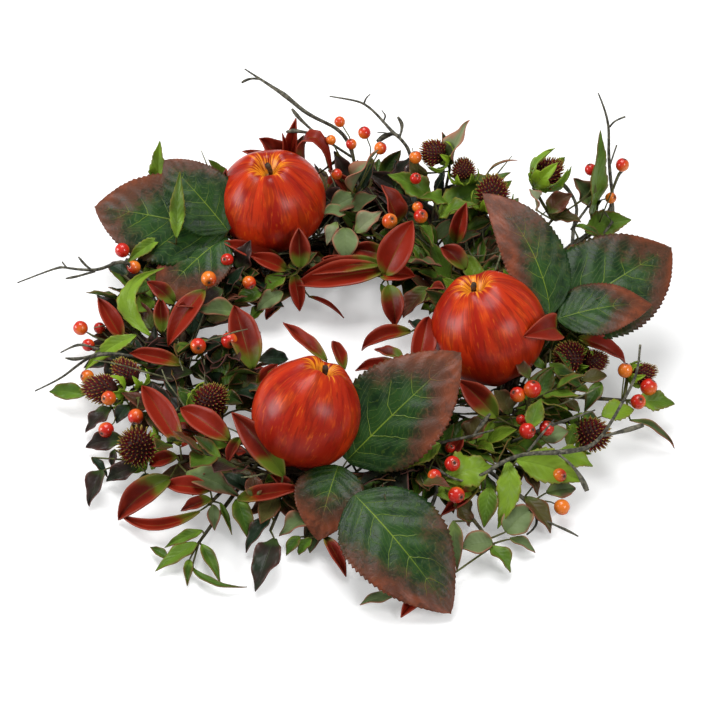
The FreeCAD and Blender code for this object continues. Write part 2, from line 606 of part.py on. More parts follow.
# centre, share of berry_diameter, the way the dry crown points
BERRIES = {
    "berries_left": [
        ((-151, 67, 40), 1.02, (-0.8, 0.4, 0.4)),
        ((-142, 52, 38), 0.94, (-0.6, -0.4, 0.6)),
        ((-175, 10, 22), 1.0, (-0.8, 0.3, 0.5)),
        ((-163, 13, 19), 0.8, (-0.6, 0.7, 0.2)),
        ((-169, -2, 18), 0.86, (-0.8, -0.3, 0.4)),
        ((-167, -29, 16), 0.92, (-0.8, -0.3, 0.4)),
        ((-150, -54, 22), 0.96, (-0.6, -0.6, 0.5)),
        ((-131, -72, 24), 1.02, (-0.12, -0.95, -0.28)),
        ((-150, -76, 16), 1.02, (-0.5, -0.85, 0.15)),
    ],
    "berries_hole": [
        ((-94, -23, 38), 1.08, (0.12, -0.9, 0.4)),
        ((-90, 32, 46), 1.06, (0.1, -1.0, 0.14)),
        ((-79, 53, 44), 0.88, (-0.3, -0.6, 0.6)),
        ((-64, 39, 36), 0.94, (0.43, -0.9, -0.1)),
        ((-74, -20, 40), 1.1, (0.24, -0.93, 0.27)),
        ((30, 74, 60), 1.08, (0.3, -0.4, 0.8)),
        ((49, 86, 62), 0.76, (-0.2, 0.3, 0.9)),
        ((51, 79, 60), 1.0, (0.2, -0.4, 0.9)),
    ],
    "berries_back": [
        ((-4, 146, 88), 0.78, (-0.5, 0.5, 0.5)),
        ((-10, 136, 80), 0.72, (-0.4, 0.2, 0.7)),
        ((4, 134, 78), 0.78, (-0.2, 0.1, 0.9)),
        ((13, 139, 84), 0.9, (-0.4, 0.3, 0.8)),
        ((24, 127, 80), 0.9, (0.4, 0.3, 0.8)),
        ((48, 122, 76), 0.9, (-0.2, 0.4, 0.9)),
        ((48, 109, 68), 0.82, (0.2, -0.3, 0.9)),
        ((-6, 116, 66), 0.8, (-0.6, 0.0, 0.7)),
        ((166, 104, 80), 0.84, (-0.3, 0.2, 0.9)),
        ((187, 104, 84), 0.94, (0.3, 0.3, 0.9)),
        ((182, 104, 55), 0.8, (0.6, -0.4, 0.5)),
    ],
    "berries_right": [
        ((117, -71, 48), 1.14, (0.1, 0.2, 0.95)),
        ((108, -72, 44), 1.0, (-0.6, -0.2, 0.7)),
        ((179, -41, 34), 0.98, (0.1, 0.4, 0.8)),
        ((194, -49, 27), 1.12, (0.5, 0.3, 0.7)),
        ((186, -61, 26), 1.0, (0.2, -0.3, 0.8)),
        ((113, -95, 36), 1.06, (0.7, -0.4, 0.6)),
        ((125, -93, 36), 0.96, (0.3, 0.2, 0.9)),
        ((110, -84, 34), 0.66, (-0.4, 0.2, 0.8)),
        ((66, -122, 36), 1.0, (0.2, -0.5, 0.8)),
        ((55, -130, 34), 0.86, (0.4, -0.8, 0.4)),
        ((68, -140, 28), 1.04, (0.6, -0.7, 0.36)),
        ((132, -119, 22), 0.88, (0.7, -0.6, 0.4)),
        ((133, -136, 12), 1.0, (0.9, -0.4, -0.2)),
        ((66, -100, 26), 0.76, (0.1, -0.4, 0.8)),
    ],
}
CROWN_SINK = 0.46                  # share of the diameter from a berry's centre to its crown
crowns = []
berry_stems = []
for name, rows in BERRIES.items():
    spheres = []
    for index, (centre, size_share, way) in enumerate(rows):
        berry = doc.addObject("Part::Sphere", f"{name}_{index + 1}")
        berry.setExpression("Radius", f"dims.berry_diameter * {size_share} / 2")
        berry.Placement = Placement(Vector(*centre), Rotation())
        spheres.append(berry)
        crown = doc.addObject("Part::Cone", f"{name}_crown_{index + 1}")
        crown.setExpression("Radius1", f"dims.berry_diameter * {size_share} * 0.10")
        crown.setExpression("Radius2", f"dims.berry_diameter * {size_share} * 0.17")
        crown.setExpression("Height", f"dims.berry_diameter * {size_share} * 0.14")
        size = dim("berry_diameter") * size_share
        axis = Vector(*way).normalize()
        crown.Placement = Placement(Vector(*centre) + axis * (size * CROWN_SINK), turned_to(way))
        crowns.append(crown)
        joint = nearest_on_stems(Vector(*centre) - axis * size)
        entry = Vector(*centre) - axis * (size * 0.45)
        bend = entry - axis * (0.3 * entry.distanceToPoint(joint) + 1.0)
        bend.z = max(bend.z, 4.0)
        radius = dim("berry_stem") / 2
        berry_stems.append(tube_solid([joint, bend, entry], [1.3 * radius, radius, radius]))
    subparts.append(group(name, spheres))
subparts.append(group("berry_crowns", crowns))
coded_part("berry_stems", berry_stems)

# ---------------------------------------------------------------- seed pods

# centre, the way the pod points, length and diameter as shares of pod_diameter, how far its
# sepals reach along it
PODS = {
    "pods_left": [
        ((-156, -41, 17), (-1.0, 0.1, 0.1), 1.3, 0.95, 0.3),
        ((-141, -30, 20), (-0.6, 0.6, 0.4), 1.1, 0.9, 0.2),
        ((-128, -95, 22), (-0.3, -0.4, 0.8), 1.2, 1.2, 0.2),
        ((-83, -69, 36), (0.5, -0.2, 0.8), 1.3, 1.05, 0.5),
    ],
    "pods_back": [
        ((61, 127, 76), (-0.8, 0.2, 0.45), 1.0, 0.95, 0.4),
        ((81, 116, 70), (-0.1, 0.3, 0.9), 0.85, 0.8, 0.5),
        ((100, 97, 66), (0.1, 0.2, 0.9), 1.2, 1.1, 0.5),
        ((138, 115, 67), (0.55, 0.1, 0.65), 1.3, 1.0, 1.1),
    ],
    "pods_right": [
        ((144, -33, 38), (-0.5, -0.2, 0.6), 1.1, 1.05, 0.3),
        ((160, -33, 34), (0.9, 0.0, 0.2), 0.9, 0.75, 0.3),
        ((191, -38, 28), (0.9, 0.1, 0.3), 0.95, 0.65, 0.6),
        ((155, -87, 24), (0.5, -0.5, 0.5), 1.3, 1.05, 0.3),
    ],
}
SEPAL_COUNT = 6
SEPAL_FULLNESS = 0.75      # a sepal that reaches farther is wider too
pod_stems = []
sepals = []
for name, rows in PODS.items():
    cores = []
    for index, (centre, way, length_share, width_share, sepal_reach) in enumerate(rows):
        core = doc.addObject("Part::Ellipsoid", f"{name}_{index + 1}")
        core.setExpression("Radius1", f"dims.pod_diameter * {length_share} / 2")
        core.setExpression("Radius2", f"dims.pod_diameter * {width_share} / 2")
        core.setExpression("Radius3", f"dims.pod_diameter * {width_share} / 2")
        turned = turned_to(way)
        core.Placement = Placement(Vector(*centre), turned)
        cores.append(core)
        half_long = dim("pod_diameter") * length_share / 2
        half_wide = dim("pod_diameter") * width_share / 2
        axis = Vector(*way).normalize()
        heel = Vector(*centre) - axis * (half_long + 0.6)
        for turn in range(SEPAL_COUNT):
            side = turned.multVec(Rotation(Vector(0, 0, 1), 360.0 * turn / SEPAL_COUNT)
                                  .multVec(Vector(1, 0, 0)))
            tip = Vector(*centre) + side * (half_wide * 1.45) + axis * (half_long * 2 * (sepal_reach - 0.5))
            along = (tip - heel).normalize()
            upward = framed(along, Vector(0.02, 0.03, 1))
            facing = framed(along, side)
            roll = math.degrees(upward.getAngle(facing))
            if upward.cross(facing).dot(along) < 0:
                roll = -roll
            tip.z = max(tip.z, 1.5)
            width = dim("sepal_width") * width_share * (SEPAL_FULLNESS + sepal_reach)
            sepals.append(leaf_solid("lime", dim("leaf_thickness"), tuple(heel), tuple(tip),
                                     width, half_wide * 0.45, roll))
        joint = nearest_on_stems(heel)
        if joint.distanceToPoint(heel) > 1.0:
            radius = dim("stem_diameter") / 2
            pod_stems.append(tube_solid([joint, heel], [0.8 * radius, 0.9 * radius]))
    subparts.append(group(name, cores))
coded_part("pod_sepals", sepals)
coded_part("pod_stems", pod_stems)

# ---------------------------------------------------------------- twigs

# Each branch is a route of points from its root to its tip, thick end first. The last number
# of a point is its thickness as a share of twig_diameter: a bud is a short thick stretch.
TWIGS = {
    "twig_left": [
        [(-118, 40, 14, 1), (-138, 52, 36, 1), (-149, 52, 45, 1), (-156, 43, 48, 0.9),
         (-165, 35, 50, 0.9), (-184, 38, 50, 0.7), (-189, 40, 50, 0.6), (-216, 28, 46, 0.4)],
        [(-166, 35, 50, 0.7), (-170, 35, 54, 0.6), (-173, 36, 58, 0.9), (-175, 37, 61, 0.4)],
        [(-165, 35, 50, 0.7), (-176, 30, 50, 0.6), (-180, 30, 49, 0.9), (-184, 30, 48, 0.4)],
        [(-184, 38, 50, 0.6), (-187, 40, 54, 0.4)],
        [(-116, -12, 12, 1), (-140, -16, 22, 0.9), (-158, -15, 25, 0.8), (-168, -22, 25, 0.8),
         (-177, -31, 23, 0.7), (-183, -36, 21, 0.6), (-199, -43, 17, 0.4)],
        [(-159, -16, 25, 0.7), (-166, -22, 27, 0.6), (-172, -25, 28, 1.0), (-176, -26, 29, 1.1),
         (-180, -26, 30, 0.4)],
        [(-160, -12, 24, 0.7), (-173, -9, 27, 0.6), (-184, -19, 28, 0.4)],
    ],
    "twig_back_left": [
        [(12, 112, 14, 1), (10, 132, 44, 1), (3, 150, 68, 1), (-7, 153, 78, 1.1),
         (-18, 153, 84, 1.0), (-28, 153, 90, 0.9), (-37, 160, 95, 1.2), (-42, 163, 98, 1.7),
         (-46, 166, 99, 1.1), (-59, 173, 104, 0.8), (-70, 177, 110, 0.4)],
        [(-59, 173, 104, 0.7), (-65, 172, 106, 0.6), (-70, 170, 105, 1.0), (-72, 169, 104, 0.5)],
        [(4, 140, 62, 0.8), (-16, 141, 78, 0.8), (-23, 144, 82, 0.7), (-30, 148, 87, 0.9),
         (-34, 151, 90, 1.5), (-37, 154, 93, 0.7)],
        [(-12, 142, 76, 0.7), (-23, 146, 78, 0.7), (-31, 144, 81, 0.9), (-36, 144, 82, 1.6),
         (-41, 145, 80, 0.6)],
        [(40, 106, 14, 1), (46, 124, 50, 1), (46, 132, 72, 1), (38, 138, 80, 1.0),
         (33, 141, 82, 1.0), (26, 149, 86, 0.8), (21, 153, 90, 0.8), (13, 157, 96, 0.7),
         (3, 158, 98, 0.6), (-11, 159, 100, 0.4)],
        [(26, 149, 86, 0.6), (28, 150, 90, 0.5), (25, 151, 94, 0.3)],
        [(13, 157, 96, 0.6), (14, 157, 100, 0.5), (17, 156, 104, 0.3)],
        [(37, 138, 80, 0.7), (39, 142, 84, 0.7), (39, 145, 88, 1.4), (36, 146, 92, 0.7)],
        [(36, 140, 80, 0.5), (29, 144, 80, 0.4), (22, 142, 82, 0.3)],
        [(37, 141, 80, 0.7), (33, 146, 78, 1.0), (27, 147, 75, 1.9), (22, 144, 72, 1.2)],
    ],
    "twig_back_right": [
        [(100, 56, 12, 1), (150, 84, 22, 1), (188, 112, 34, 1), (183, 119, 58, 1.1),
         (179, 121, 84, 0.9), (179, 125, 100, 0.8), (173, 125, 118, 0.6), (169, 128, 126, 0.4)],
        [(179, 125, 100, 0.6), (181, 125, 104, 0.6), (185, 126, 106, 0.5), (189, 127, 107, 0.6)],
        [(182, 123, 68, 0.6), (184, 127, 73, 0.5), (186, 129, 81, 0.5)],
        [(185, 120, 46, 0.8), (188, 122, 60, 0.8), (190, 116, 70, 1.1)],
        [(104, 40, 12, 1), (134, 58, 20, 1), (156, 70, 30, 1.1), (155, 88, 40, 1.1),
         (161, 101, 48, 1.0), (155, 111, 54, 0.9), (152, 114, 56, 1.5), (149, 117, 58, 1.0)],
        [(155, 88, 40, 0.9), (162, 98, 44, 0.8), (169, 107, 47, 0.7), (173, 113, 51, 0.4)],
        [(157, 72, 30, 1.0), (163, 76, 29, 1.0), (175, 82, 30, 0.9), (178, 92, 34, 0.8),
         (184, 96, 40, 0.8), (180, 98, 44, 0.6), (177, 102, 47, 0.4)],
    ],
    "twig_right_front": [
        [(60, -92, 14, 1), (70, -118, 22, 1), (83, -127, 29, 0.9), (92, -122, 34, 1.1),
         (109, -114, 38, 1.0), (129, -118, 40, 1.2), (149, -113, 40, 1.0), (159, -103, 40, 0.9),
         (165, -92, 42, 0.8), (174, -75, 44, 0.8), (182, -63, 48, 0.7), (184, -54, 56, 0.6),
         (185, -46, 62, 0.7)],
        [(159, -103, 40, 0.7), (168, -100, 40, 0.8), (174, -98, 40, 1.6), (179, -96, 40, 1.4),
         (184, -94, 40, 1.1)],
        [(130, -118, 40, 0.7), (137, -122, 37, 0.6), (142, -127, 33, 0.9), (145, -132, 30, 1.7),
         (147, -136, 27, 1.2)],
        [(112, -114, 38, 0.7), (123, -100, 42, 0.6), (129, -93, 44, 0.4)],
        [(40, -100, 14, 1), (56, -102, 33, 0.8), (74, -103, 38, 0.7), (83, -101, 40, 0.6),
         (92, -98, 40, 0.4)],
        [(79, -102, 38, 0.6), (83, -97, 41, 1.0), (87, -93, 44, 1.3), (90, -90, 46, 0.6)],
        [(104, -92, 22, 0.9), (123, -96, 40, 0.8), (141, -90, 42, 0.7), (155, -85, 44, 0.4)],
        [(88, -104, 12, 0.9), (104, -124, 14, 0.9), (112, -132, 12, 0.8), (118, -141, 9, 0.7),
         (117, -147, 6, 0.6), (111, -151, 4, 0.5)],
        [(118, -141, 9, 0.6), (130, -148, 8, 0.5), (134, -150, 8, 0.9), (142, -154, 6, 0.4)],
        [(44, -104, 16, 0.8), (56, -119, 30, 0.7), (62, -127, 31, 0.7), (69, -131, 31, 0.6),
         (78, -130, 28, 0.5)],
        [(46, -106, 14, 0.7), (56, -124, 27, 0.6), (57, -132, 21, 0.9), (53, -138, 14, 1.2)],
    ],
}
for name, branches in TWIGS.items():
    solids = []
    for branch in branches:
        route = [point[:3] for point in branch]
        radii = [point[3] * dim("twig_diameter") / 2 for point in branch]
        solids.append(tube_solid(route, radii))
    coded_part(name, solids)

# ---------------------------------------------------------------- filling sprigs

# Short leafy sprigs fill the ring between the sprays, so that no vine shows from the front or
# the side. Each one starts in the vine. A leaf is left out where it would touch a fruit or a
# leaf of a spray, or stand in front of one, seen from the front of the wreath and above.

# node: how many sprigs, which way they lean (-1 is to the middle), how far from the middle they
# leave the bundle (least and most), how far they reach (least and most)
SPRIGS = {
    "filler_leaves_outer": (118, 1.0, (104.0, 130.0), (26.0, 42.0)),
    "filler_leaves_inner": (54, -1.0, (90.0, 110.0), (22.0, 36.0)),
}
SPRIG_STEPS = (0.0, 0.33, 0.67, 1.0)
SPRIG_LEAVES = 8
SPRIG_HEIGHTS = (5.0, 20.0)        # lowest and highest start
SPRIG_LEAF_LENGTHS = (13.0, 22.0)
SPRIG_STEM = 1.6                   # diameter at the vine
ROOT_RUN = 9.0                     # a sprig that starts nearer the middle of the bundle needs no root
FRUIT_GAP = 2.5
LEAF_GAP = 2.0
LOWEST_LEAF = 3.0
OUTER_LIMIT = 168.0                # farthest that a filling leaf reaches from the middle
AWAY = Vector(0, 1, -1).normalize()
COVER_DEPTH = 70.0                 # a leaf farther behind than this may be covered

balls = []
for centre, direction, size_share, tallness in APPLES.values():
    balls.append((Vector(*centre), dim("apple_diameter") * size_share * max(1.0, tallness) / 2))
for rows in PODS.values():
    for centre, way, length_share, width_share, sepal_reach in rows:
        balls.append((Vector(*centre), dim("pod_diameter") * max(length_share, width_share) / 2))
for rows in BERRIES.values():
    for centre, size_share, way in rows:
        balls.append((Vector(*centre), dim("berry_diameter") * size_share / 2))

shown_blades = []
for family in ({"large": list(BIG_LEAVES.values())}, RED_LEAVES, GREY_LEAVES, LIME_LEAVES,
               GREEN_LEAVES, DARK_LEAVES):
    for rows in family.values():
        for base, tip, width, bow, roll, *_ in rows:
            run = Vector(*tip) - Vector(*base)
            along = Vector(run).normalize()
            face = Rotation(along, roll).multVec(framed(along, Vector(0.02, 0.03, 1)))
            shown_blades.append((Vector(*base), along, face.cross(along), face, run.Length, width, bow))


def over_blade(point, blade, slack):
    """Whether a point is over or under a blade, and its height above it."""
    base, along, left, face, length, width, bow = blade
    offset = point - base
    place = offset.dot(along) / length
    if not 0 <= place <= 1:
        return False, 0.0
    half = width / 2 * math.sin(math.pi * min(place + 0.08, 1.0) ** 0.8)
    height = offset.dot(face) - 4 * bow * place * (1 - place)
    return abs(offset.dot(left)) < half + slack, height


def has_room(point):
    if point.z < LOWEST_LEAF or math.hypot(point.x, point.y) > OUTER_LIMIT:
        return False
    if any(point.distanceToPoint(centre) < radius + FRUIT_GAP for centre, radius in balls):
        return False
    for blade in shown_blades:
        over, height = over_blade(point, blade, LEAF_GAP)
        if over and abs(height) < LEAF_GAP:
            return False
    return True


def covers_something(point):
    for centre, radius in balls:
        depth = (centre - point).dot(AWAY)
        if 0 < depth < COVER_DEPTH and (point + AWAY * depth).distanceToPoint(centre) < radius:
            return True
    for blade in shown_blades:
        slope = AWAY.dot(blade[3])
        if abs(slope) < 0.1:
            continue
        depth = (blade[0] - point).dot(blade[3]) / slope
        if 0 < depth < COVER_DEPTH and over_blade(point + AWAY * depth, blade, 0.0)[0]:
            return True
    return False


def sprig_route(chance, turn, lean, start_radius, reach):
    out = Vector(math.cos(turn), math.sin(turn), 0)
    about = Vector(-out.y, out.x, 0)
    way = (out * (lean * chance.uniform(0.15, 1.0)) + about * chance.uniform(-1.1, 1.1)).normalize()
    steep = chance.uniform(0.1, 0.9)
    droop = chance.uniform(-0.5, 0.1)
    start = out * start_radius + Vector(0, 0, chance.uniform(*SPRIG_HEIGHTS))
    return [start + way * (reach * share) + Vector(0, 0, reach * (steep + droop * share) * share)
            for share in SPRIG_STEPS]


def sprig_rows(chance, route):
    """Rows of the leaves of one sprig, to either side of its stem and one at its end."""
    rows = []
    runs = len(route) - 1
    for index in range(SPRIG_LEAVES):
        spot = (index + 1) / SPRIG_LEAVES * runs
        run = min(int(spot), runs - 1)
        foot = route[run] + (route[run + 1] - route[run]) * (spot - run)
        ahead = (route[run + 1] - route[run]).normalize()
        aside = ahead.cross(Vector(0, 0, 1)).normalize() * (1 if index % 2 else -1)
        spread = chance.uniform(0.6, 1.1) if index < SPRIG_LEAVES - 1 else 0.1
        way = (ahead + aside * spread + Vector(0, 0, chance.uniform(-0.1, 0.55))).normalize()
        length = chance.uniform(*SPRIG_LEAF_LENGTHS)
        tip = foot + way * length
        middle = (foot + tip) * 0.5
        shy = covers_something(middle) or covers_something(foot + way * (0.85 * length))
        wanted = not shy or chance.random() > 0.85
        if wanted and all(has_room(point) for point in (foot, middle, tip)):
            width = length * chance.uniform(0.42, 0.54)
            bow = chance.uniform(-0.5, 2.0)
            rows.append((tuple(foot), tuple(tip), width, bow, chance.uniform(-38, 38)))
    return rows


chance = random.Random(5)
GOLDEN_ANGLE = math.pi * (3 - math.sqrt(5))
sprig_stems = []
for name, (count, lean, start_radii, reaches) in SPRIGS.items():
    leaves = []
    for index in range(count):
        turn = index * GOLDEN_ANGLE
        route = sprig_route(chance, turn, lean, chance.uniform(*start_radii), chance.uniform(*reaches))
        rows = sprig_rows(chance, route)
        if rows and all(has_room(point) for point in route[1:]):
            leaves += [leaf_solid("filler", dim("leaf_thickness"), *row) for row in rows]
            root = ring_point(route[0].x, route[0].y)
            radii = [SPRIG_STEM / 2 * share for share in (1.0, 0.9, 0.8, 0.5)]
            if root.distanceToPoint(route[0]) > ROOT_RUN:
                route.insert(0, root)
                radii.insert(0, SPRIG_STEM / 2)
            sprig_stems.append(tube_solid(route, radii, THIN_TUBE_SIDES))
    coded_part(name, leaves)
coded_part("filler_stems", sprig_stems)

# Wires that carry the apples, from the ring up into each core.
carriers = []
for centre, direction, size_share, tallness in APPLES.values():
    root = ring_point(centre[0], centre[1])
    half_height = dim("apple_diameter") * size_share * tallness / 2
    heel = Vector(*centre) - Vector(*direction).normalize() * (CARRIER_END * half_height)
    radius = dim("pick_wire") / 2
    carriers.append(tube_solid([root, heel], [radius, radius]))
coded_part("apple_wires", carriers)

# ---------------------------------------------------------------- check and write

doc.recompute()
failed = [item.Name for item in doc.Objects if "Invalid" in item.State or "Error" in item.State]
if failed:
    raise RuntimeError(f"objects that failed: {failed}")
os.makedirs("parts", exist_ok=True)
for part in subparts:
    shape = part.Shape
    if shape.isNull() or not shape.isValid():
        raise RuntimeError(f"{part.Label} has no valid shape")
    small = [solid.Volume for solid in shape.Solids if solid.Volume < 0.5]
    if small or not shape.Solids:
        raise RuntimeError(f"{part.Label} has empty solids: {small}")
    shape.exportStep(os.path.join("parts", part.Label + ".step"))
    box = shape.BoundBox
    print(f"{part.Label:26s} {len(shape.Solids):3d} solids, {shape.Volume / 1000:8.2f} cm3, "
          f"x {box.XMin:.0f} to {box.XMax:.0f}, y {box.YMin:.0f} to {box.YMax:.0f}, "
          f"z {box.ZMin:.1f} to {box.ZMax:.1f}")
print(len(subparts), "nodes")
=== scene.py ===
import math
import random

import bmesh
import bpy
from mathutils import Matrix, Vector, noise
from mathutils.bvhtree import BVHTree


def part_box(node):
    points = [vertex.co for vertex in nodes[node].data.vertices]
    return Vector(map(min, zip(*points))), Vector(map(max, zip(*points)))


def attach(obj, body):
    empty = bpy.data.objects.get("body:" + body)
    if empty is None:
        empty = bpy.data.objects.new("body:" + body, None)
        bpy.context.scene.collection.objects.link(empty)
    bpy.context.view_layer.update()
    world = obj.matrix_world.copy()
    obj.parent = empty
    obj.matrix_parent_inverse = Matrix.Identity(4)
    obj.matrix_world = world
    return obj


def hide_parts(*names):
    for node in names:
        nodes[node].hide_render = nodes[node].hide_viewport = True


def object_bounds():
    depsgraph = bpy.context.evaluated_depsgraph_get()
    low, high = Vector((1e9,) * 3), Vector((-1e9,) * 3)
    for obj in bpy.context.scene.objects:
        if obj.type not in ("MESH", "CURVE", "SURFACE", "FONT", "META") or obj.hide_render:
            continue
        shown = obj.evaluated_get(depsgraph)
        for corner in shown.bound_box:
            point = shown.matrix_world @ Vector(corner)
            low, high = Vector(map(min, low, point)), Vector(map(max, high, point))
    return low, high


# %% [markdown]
# # A harvest door wreath
# Apples, large rust-edged leaves, small leaves, berries, spiny pods and twigs on a ring of vine.
# The solid model is loaded first and none of its shapes is changed. Most pieces below stand for
# one or more of its nodes and read their places and sizes off them. The bare twiglets stand for
# none, and the two kinds of wire keep their own meshes.

# %% Load the solid model
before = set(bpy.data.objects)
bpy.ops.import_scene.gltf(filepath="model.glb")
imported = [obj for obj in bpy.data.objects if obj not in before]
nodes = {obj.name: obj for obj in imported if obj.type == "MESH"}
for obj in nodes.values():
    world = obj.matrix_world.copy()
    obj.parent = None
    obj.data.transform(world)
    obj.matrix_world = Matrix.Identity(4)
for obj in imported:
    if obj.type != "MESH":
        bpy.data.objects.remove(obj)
solid_box = [list(corner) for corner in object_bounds()]
print("solid model:", len(nodes), "nodes, box", solid_box)

# %% [markdown]
# A node holds many leaves or stems in one mesh of loose triangles. Merging the doubled points
# and walking from point to point gives the separate solids back.

# %% Separate the solids of a node
MM = 0.001
SAME_POINT = 0.002 * MM    # points nearer than this are one point


def merged_mesh(*members):
    mesh = bmesh.new()
    for node in members:
        mesh.from_mesh(nodes[node].data)
    bmesh.ops.remove_doubles(mesh, verts=mesh.verts, dist=SAME_POINT)
    return mesh


def islands(mesh):
    """The points of each separate solid in a mesh."""
    seen = set()
    found = []
    for start in mesh.verts:
        if start in seen:
            continue
        seen.add(start)
        island, edge_of_walk = [start], [start]
        while edge_of_walk:
            point = edge_of_walk.pop()
            for edge in point.link_edges:
                other = edge.other_vert(point)
                if other not in seen:
                    seen.add(other)
                    island.append(other)
                    edge_of_walk.append(other)
        found.append(island)
    return found


def new_piece(name, mesh, materials, replaced=(), smooth=True):
    """A finished piece from a bmesh: it rides with the wreath and stands for solid nodes."""
    data = bpy.data.meshes.new(name)
    mesh.to_mesh(data)
    mesh.free()
    piece = bpy.data.objects.new(name, data)
    bpy.context.scene.collection.objects.link(piece)
    for material in materials:
        data.materials.append(material)
    if smooth:
        data.shade_smooth()
    else:
        data.shade_flat()
    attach(piece, "root")
    if replaced:
        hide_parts(*replaced)
    return piece


# %% [markdown]
# ## Paint
# Shader maths reads best as sums, so a small class wraps a socket and its operators add the
# Math nodes. Another class starts a material and adds any other node.

# %% A number that changes over a surface
class Reading:
    def __init__(self, finish, socket):
        self.finish = finish
        self.socket = socket

    def __add__(self, other):
        return self.finish.maths("ADD", self, other)

    __radd__ = __add__

    def __sub__(self, other):
        return self.finish.maths("SUBTRACT", self, other)

    def __rsub__(self, other):
        return self.finish.maths("SUBTRACT", other, self)

    def __mul__(self, other):
        return self.finish.maths("MULTIPLY", self, other)

    __rmul__ = __mul__

    def __truediv__(self, other):
        return self.finish.maths("DIVIDE", self, other)

    def __pow__(self, other):
        return self.finish.maths("POWER", self, other)

    def __abs__(self):
        return self.finish.maths("ABSOLUTE", self)


# %% A material and the nodes it is made of
class Finish:
    def __init__(self, name, **constants):
        self.material = bpy.data.materials.new(name)
        self.material.use_nodes = True
        self.tree = self.material.node_tree
        self.shader = self.tree.nodes["Principled BSDF"]
        for words, value in constants.items():
            self.shader.inputs[words.replace("_", " ").title().replace("Ior", "IOR")].default_value = value

    def feed(self, socket, value):
        value = value.socket if isinstance(value, Reading) else value
        if isinstance(value, bpy.types.NodeSocket):
            self.tree.links.new(value, socket)
        elif socket.type == "RGBA":
            socket.default_value = (*value, 1.0)
        else:
            socket.default_value = value

    def node(self, kind, settings=None, inputs=None):
        made = self.tree.nodes.new(kind)
        for word, value in (settings or {}).items():
            setattr(made, word, value)
        for word, value in (inputs or {}).items():
            self.feed(made.inputs[word], value)
        return made

    def maths(self, operation, *values):
        made = self.node("ShaderNodeMath", {"operation": operation}, dict(enumerate(values)))
        return Reading(self, made.outputs[0])

    def blend(self, share, first, second):
        """Colour mix: first where share is 0, second where it is 1."""
        made = self.node("ShaderNodeMix", {"data_type": "RGBA"}, {0: share, 6: first, 7: second})
        return made.outputs[2]

    def step(self, value, low, high):
        """0 below low and 1 above high, with a soft change between."""
        made = self.node("ShaderNodeMapRange", {"interpolation_type": "SMOOTHSTEP"},
                         {"Value": value, "From Min": low, "From Max": high})
        return Reading(self, made.outputs["Result"])

    def place(self):
        return self.node("ShaderNodeTexCoord").outputs["Object"]

    def noise(self, scale, detail=2.0, vector=None, distortion=0.0):
        inputs = {"Scale": scale, "Detail": detail, "Distortion": distortion,
                  "Vector": self.place() if vector is None else vector}
        return Reading(self, self.node("ShaderNodeTexNoise", None, inputs).outputs["Fac"])

    def stored(self, word):
        made = self.node("ShaderNodeAttribute", {"attribute_name": word})
        return Reading(self, made.outputs["Fac"])

    def stored_vector(self, word):
        return self.node("ShaderNodeAttribute", {"attribute_name": word}).outputs["Vector"]

    def parts(self, vector):
        made = self.node("ShaderNodeSeparateXYZ", None, {0: vector})
        return [Reading(self, made.outputs[axis]) for axis in range(3)]

    def along_and_across(self):
        """UV map of a leaf: along from foot to tip, across from margin to margin."""
        return self.parts(self.node("ShaderNodeUVMap", {"uv_map": "leaf"}).outputs["UV"])[:2]

    def colour(self, value):
        self.feed(self.shader.inputs["Base Color"], value)

    def rough(self, value):
        self.feed(self.shader.inputs["Roughness"], value)

    def bump(self, height, depth, strength=1.0):
        made = self.node("ShaderNodeBump", None,
                         {"Height": height, "Distance": depth, "Strength": strength})
        self.feed(self.shader.inputs["Normal"], made.outputs["Normal"])


# %% [markdown]
# ## Reading a leaf off its solid
# Each solid leaf is a thin blade. Its two margins are the edges where the upper and the lower
# face meet almost back to back. Followed from the foot to the tip they give the outline, and
# the midrib lies below them, which tells which way the leaf faces.

# %% Find the two margins of a blade
MARGIN_FOLD = math.radians(100)
STATIONS = 12


def margin_chains(island):
    """Two ordered runs of points, one for each margin."""
    members = set(island)
    links = {}
    for point in island:
        for edge in point.link_edges:
            if len(edge.link_faces) == 2 and edge.calc_face_angle() > MARGIN_FOLD:
                links.setdefault(point, []).append(edge.other_vert(point))
    chains = []
    used = set()
    ends = [point for point, others in links.items() if len(others) == 1]
    for end in ends:
        if end in used:
            continue
        chain = [end]
        used.add(end)
        while True:
            following = [p for p in links[chain[-1]] if p not in used and p in members]
            if not following:
                break
            chain.append(following[0])
            used.add(following[0])
        chains.append([point.co.copy() for point in chain])
    chains.sort(key=len, reverse=True)
    return chains[:2]


def resampled(chain, count):
    """Points at even steps along a run of points."""
    lengths = [0.0]
    for first, last in zip(chain, chain[1:]):
        lengths.append(lengths[-1] + (last - first).length)
    points = []
    segment = 0
    for step in range(count):
        goal = lengths[-1] * step / (count - 1)
        while segment < len(chain) - 2 and lengths[segment + 1] < goal:
            segment += 1
        run = lengths[segment + 1] - lengths[segment]
        share = (goal - lengths[segment]) / run if run else 0.0
        points.append(chain[segment].lerp(chain[segment + 1], min(max(share, 0.0), 1.0)))
    return points


